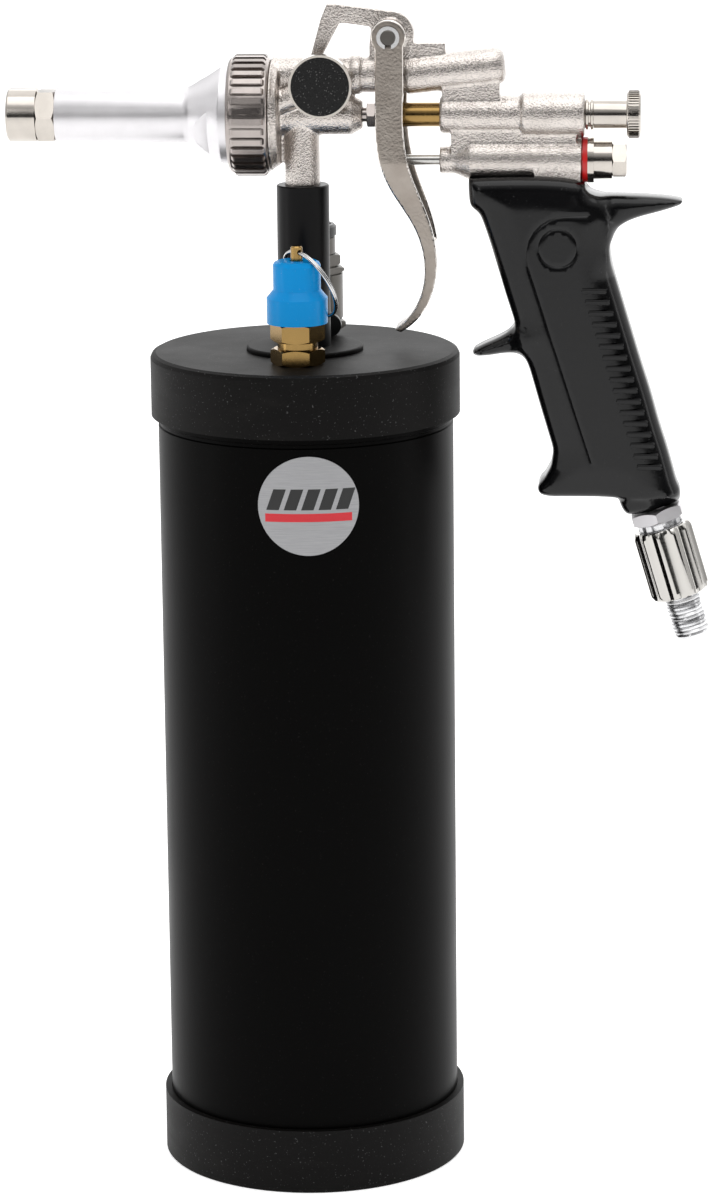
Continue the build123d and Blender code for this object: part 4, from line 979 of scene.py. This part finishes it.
def pull_ring():
    """A split ring of two touching turns of round wire."""
    centre = middle("pull_ring")
    lean, yaw = math.radians(RING_LEAN), math.radians(RING_YAW)
    slope = Vector((math.cos(yaw), math.sin(yaw), 0)) * math.cos(lean)
    slope.z = -math.sin(lean)
    level = Vector((-math.sin(yaw), math.cos(yaw), 0))
    wound = WOUND.run(
        bpy.data.meshes.new("none"), Turns=1.94, Radius=RING_R * MM, Rise=RING_RISE * MM,
        Wire=RING_WIRE * MM, Sides=12, Steps=96, Finish=FINISHES["spring_steel"],
    )
    wound.transform(Matrix.Translation((0, 0, -RING_RISE / 2 * MM)))
    place = Matrix((slope, level, slope.cross(level))).transposed().to_4x4()
    place.translation = centre
    finished(
        "pull_ring_split", wound, "spring_steel", "pull_ring", "pull_ring", place=place, sharp=60
    )


# ---- studio ----


def camera():
    """Where the viewer stands, from the angle, distance and aim of the view."""
    azimuth, elevation, roll = (math.radians(a) for a in (VIEW_TURN, VIEW_RISE, VIEW_ROLL))
    right = Vector((math.cos(azimuth), math.sin(azimuth), 0))
    back = Vector((math.sin(azimuth), -math.cos(azimuth), 0)) * math.cos(elevation)
    back.z = math.sin(elevation)
    up = back.cross(right)
    turned_right = right * math.cos(roll) + up * math.sin(roll)
    turned_up = up * math.cos(roll) - right * math.sin(roll)
    spot = right * 0.01816 + Vector((0, 0, 0.21111)) + back * 1.6646
    lens = bpy.data.cameras.new("camera")
    lens.lens = 135
    lens.sensor_fit = "VERTICAL"
    lens.sensor_height = 36
    lens.clip_start = 0.05
    eye = bpy.data.objects.new("camera", lens)
    place = Matrix((turned_right, turned_up, back)).transposed().to_4x4()
    place.translation = spot
    eye.matrix_world = place
    bpy.context.scene.collection.objects.link(eye)
    bpy.context.scene.camera = eye


def softbox(name, spot, aim, size, power, height=None):
    light = bpy.data.lights.new(name, "AREA")
    light.shape = "RECTANGLE"
    light.size = size
    light.size_y = height or size
    light.energy = power
    lamp = bpy.data.objects.new(name, light)
    lamp.location = spot
    lamp.rotation_euler = (Vector(spot) - Vector(aim)).to_track_quat("Z", "Y").to_euler()
    bpy.context.scene.collection.objects.link(lamp)


def studio():
    """White paper floor, bright sides and top, and a darker front for black and metal to show."""
    world = bpy.data.worlds.new("studio")
    world.use_nodes = True
    room = Tree(world.node_tree)
    direction = room.add("ShaderNodeTexCoord", {}, {}, "Generated")
    ahead = room.add("ShaderNodeSeparateXYZ", {}, {0: direction}, 1)
    above = room.add("ShaderNodeSeparateXYZ", {}, {0: direction}, 2)
    inputs = {0: ahead, 1: -0.45, 2: 0.5, 3: 0.02, 4: 0.85}
    front = room.add("ShaderNodeMapRange", {"interpolation_type": "SMOOTHSTEP"}, inputs)
    inputs = {0: above, 1: 0.15, 2: 0.75, 3: 0.0, 4: 0.75}
    ceiling = room.add("ShaderNodeMapRange", {"interpolation_type": "SMOOTHSTEP"}, inputs)
    seen = room.add("ShaderNodeLightPath", {}, {}, "Is Camera Ray")
    strength = (front + ceiling) * (1 - seen) + seen
    room.nodes.links.new(strength.output, room.nodes.nodes["Background"].inputs[1])
    room.nodes.nodes["Background"].inputs[0].default_value = (1, 1, 1, 1)
    bpy.context.scene.world = world
    bpy.context.scene.view_settings.view_transform = "Standard"
    aim = (0, 0, 0.25)
    softbox("key_left", (-1.15, -0.35, 0.5), aim, 0.12, 1.5, 1.2)
    softbox("front_left", (-0.45, -1.3, 0.9), (0, 0, 0.35), 0.12, 0.8, 0.5)
    softbox("fill_right", (1.2, -0.05, 0.4), aim, 0.12, 1.0, 1.2)
    softbox("top", (0.1, -0.3, 1.3), aim, 0.9, 4)
    softbox("behind", (0.2, 1.1, 0.8), aim, 1.0, 3)
    shape = bmesh.new()
    bmesh.ops.create_grid(shape, x_segments=2, y_segments=2, size=6)
    floor_mesh = bpy.data.meshes.new("floor")
    shape.to_mesh(floor_mesh)
    shape.free()
    floor = bpy.data.objects.new("floor", floor_mesh)
    paper = Finish("floor_paper", (0.92, 0.92, 0.92), Roughness=0.9, Specular_IOR_Level=0.1)
    paper.shader.inputs["Emission Color"].default_value = (1, 1, 1, 1)
    paper.shader.inputs["Emission Strength"].default_value = 0.45
    floor_mesh.materials.append(paper.material)
    bpy.context.scene.collection.objects.link(floor)


dress_cad_nodes()
riser_flange()
ring_nut()
adjuster_knob()
nozzle_tube()
softened("gun_casting", "gun_body", "rough_nickel", "tank", 0.5, 5, 0.6)
softened("trigger_polished", "trigger", "polished_nickel", "trigger", 0.4, 8, 1.0, "trigger_nickel")
handle_piece()
inlet()
pull_ring()
studio()
camera()
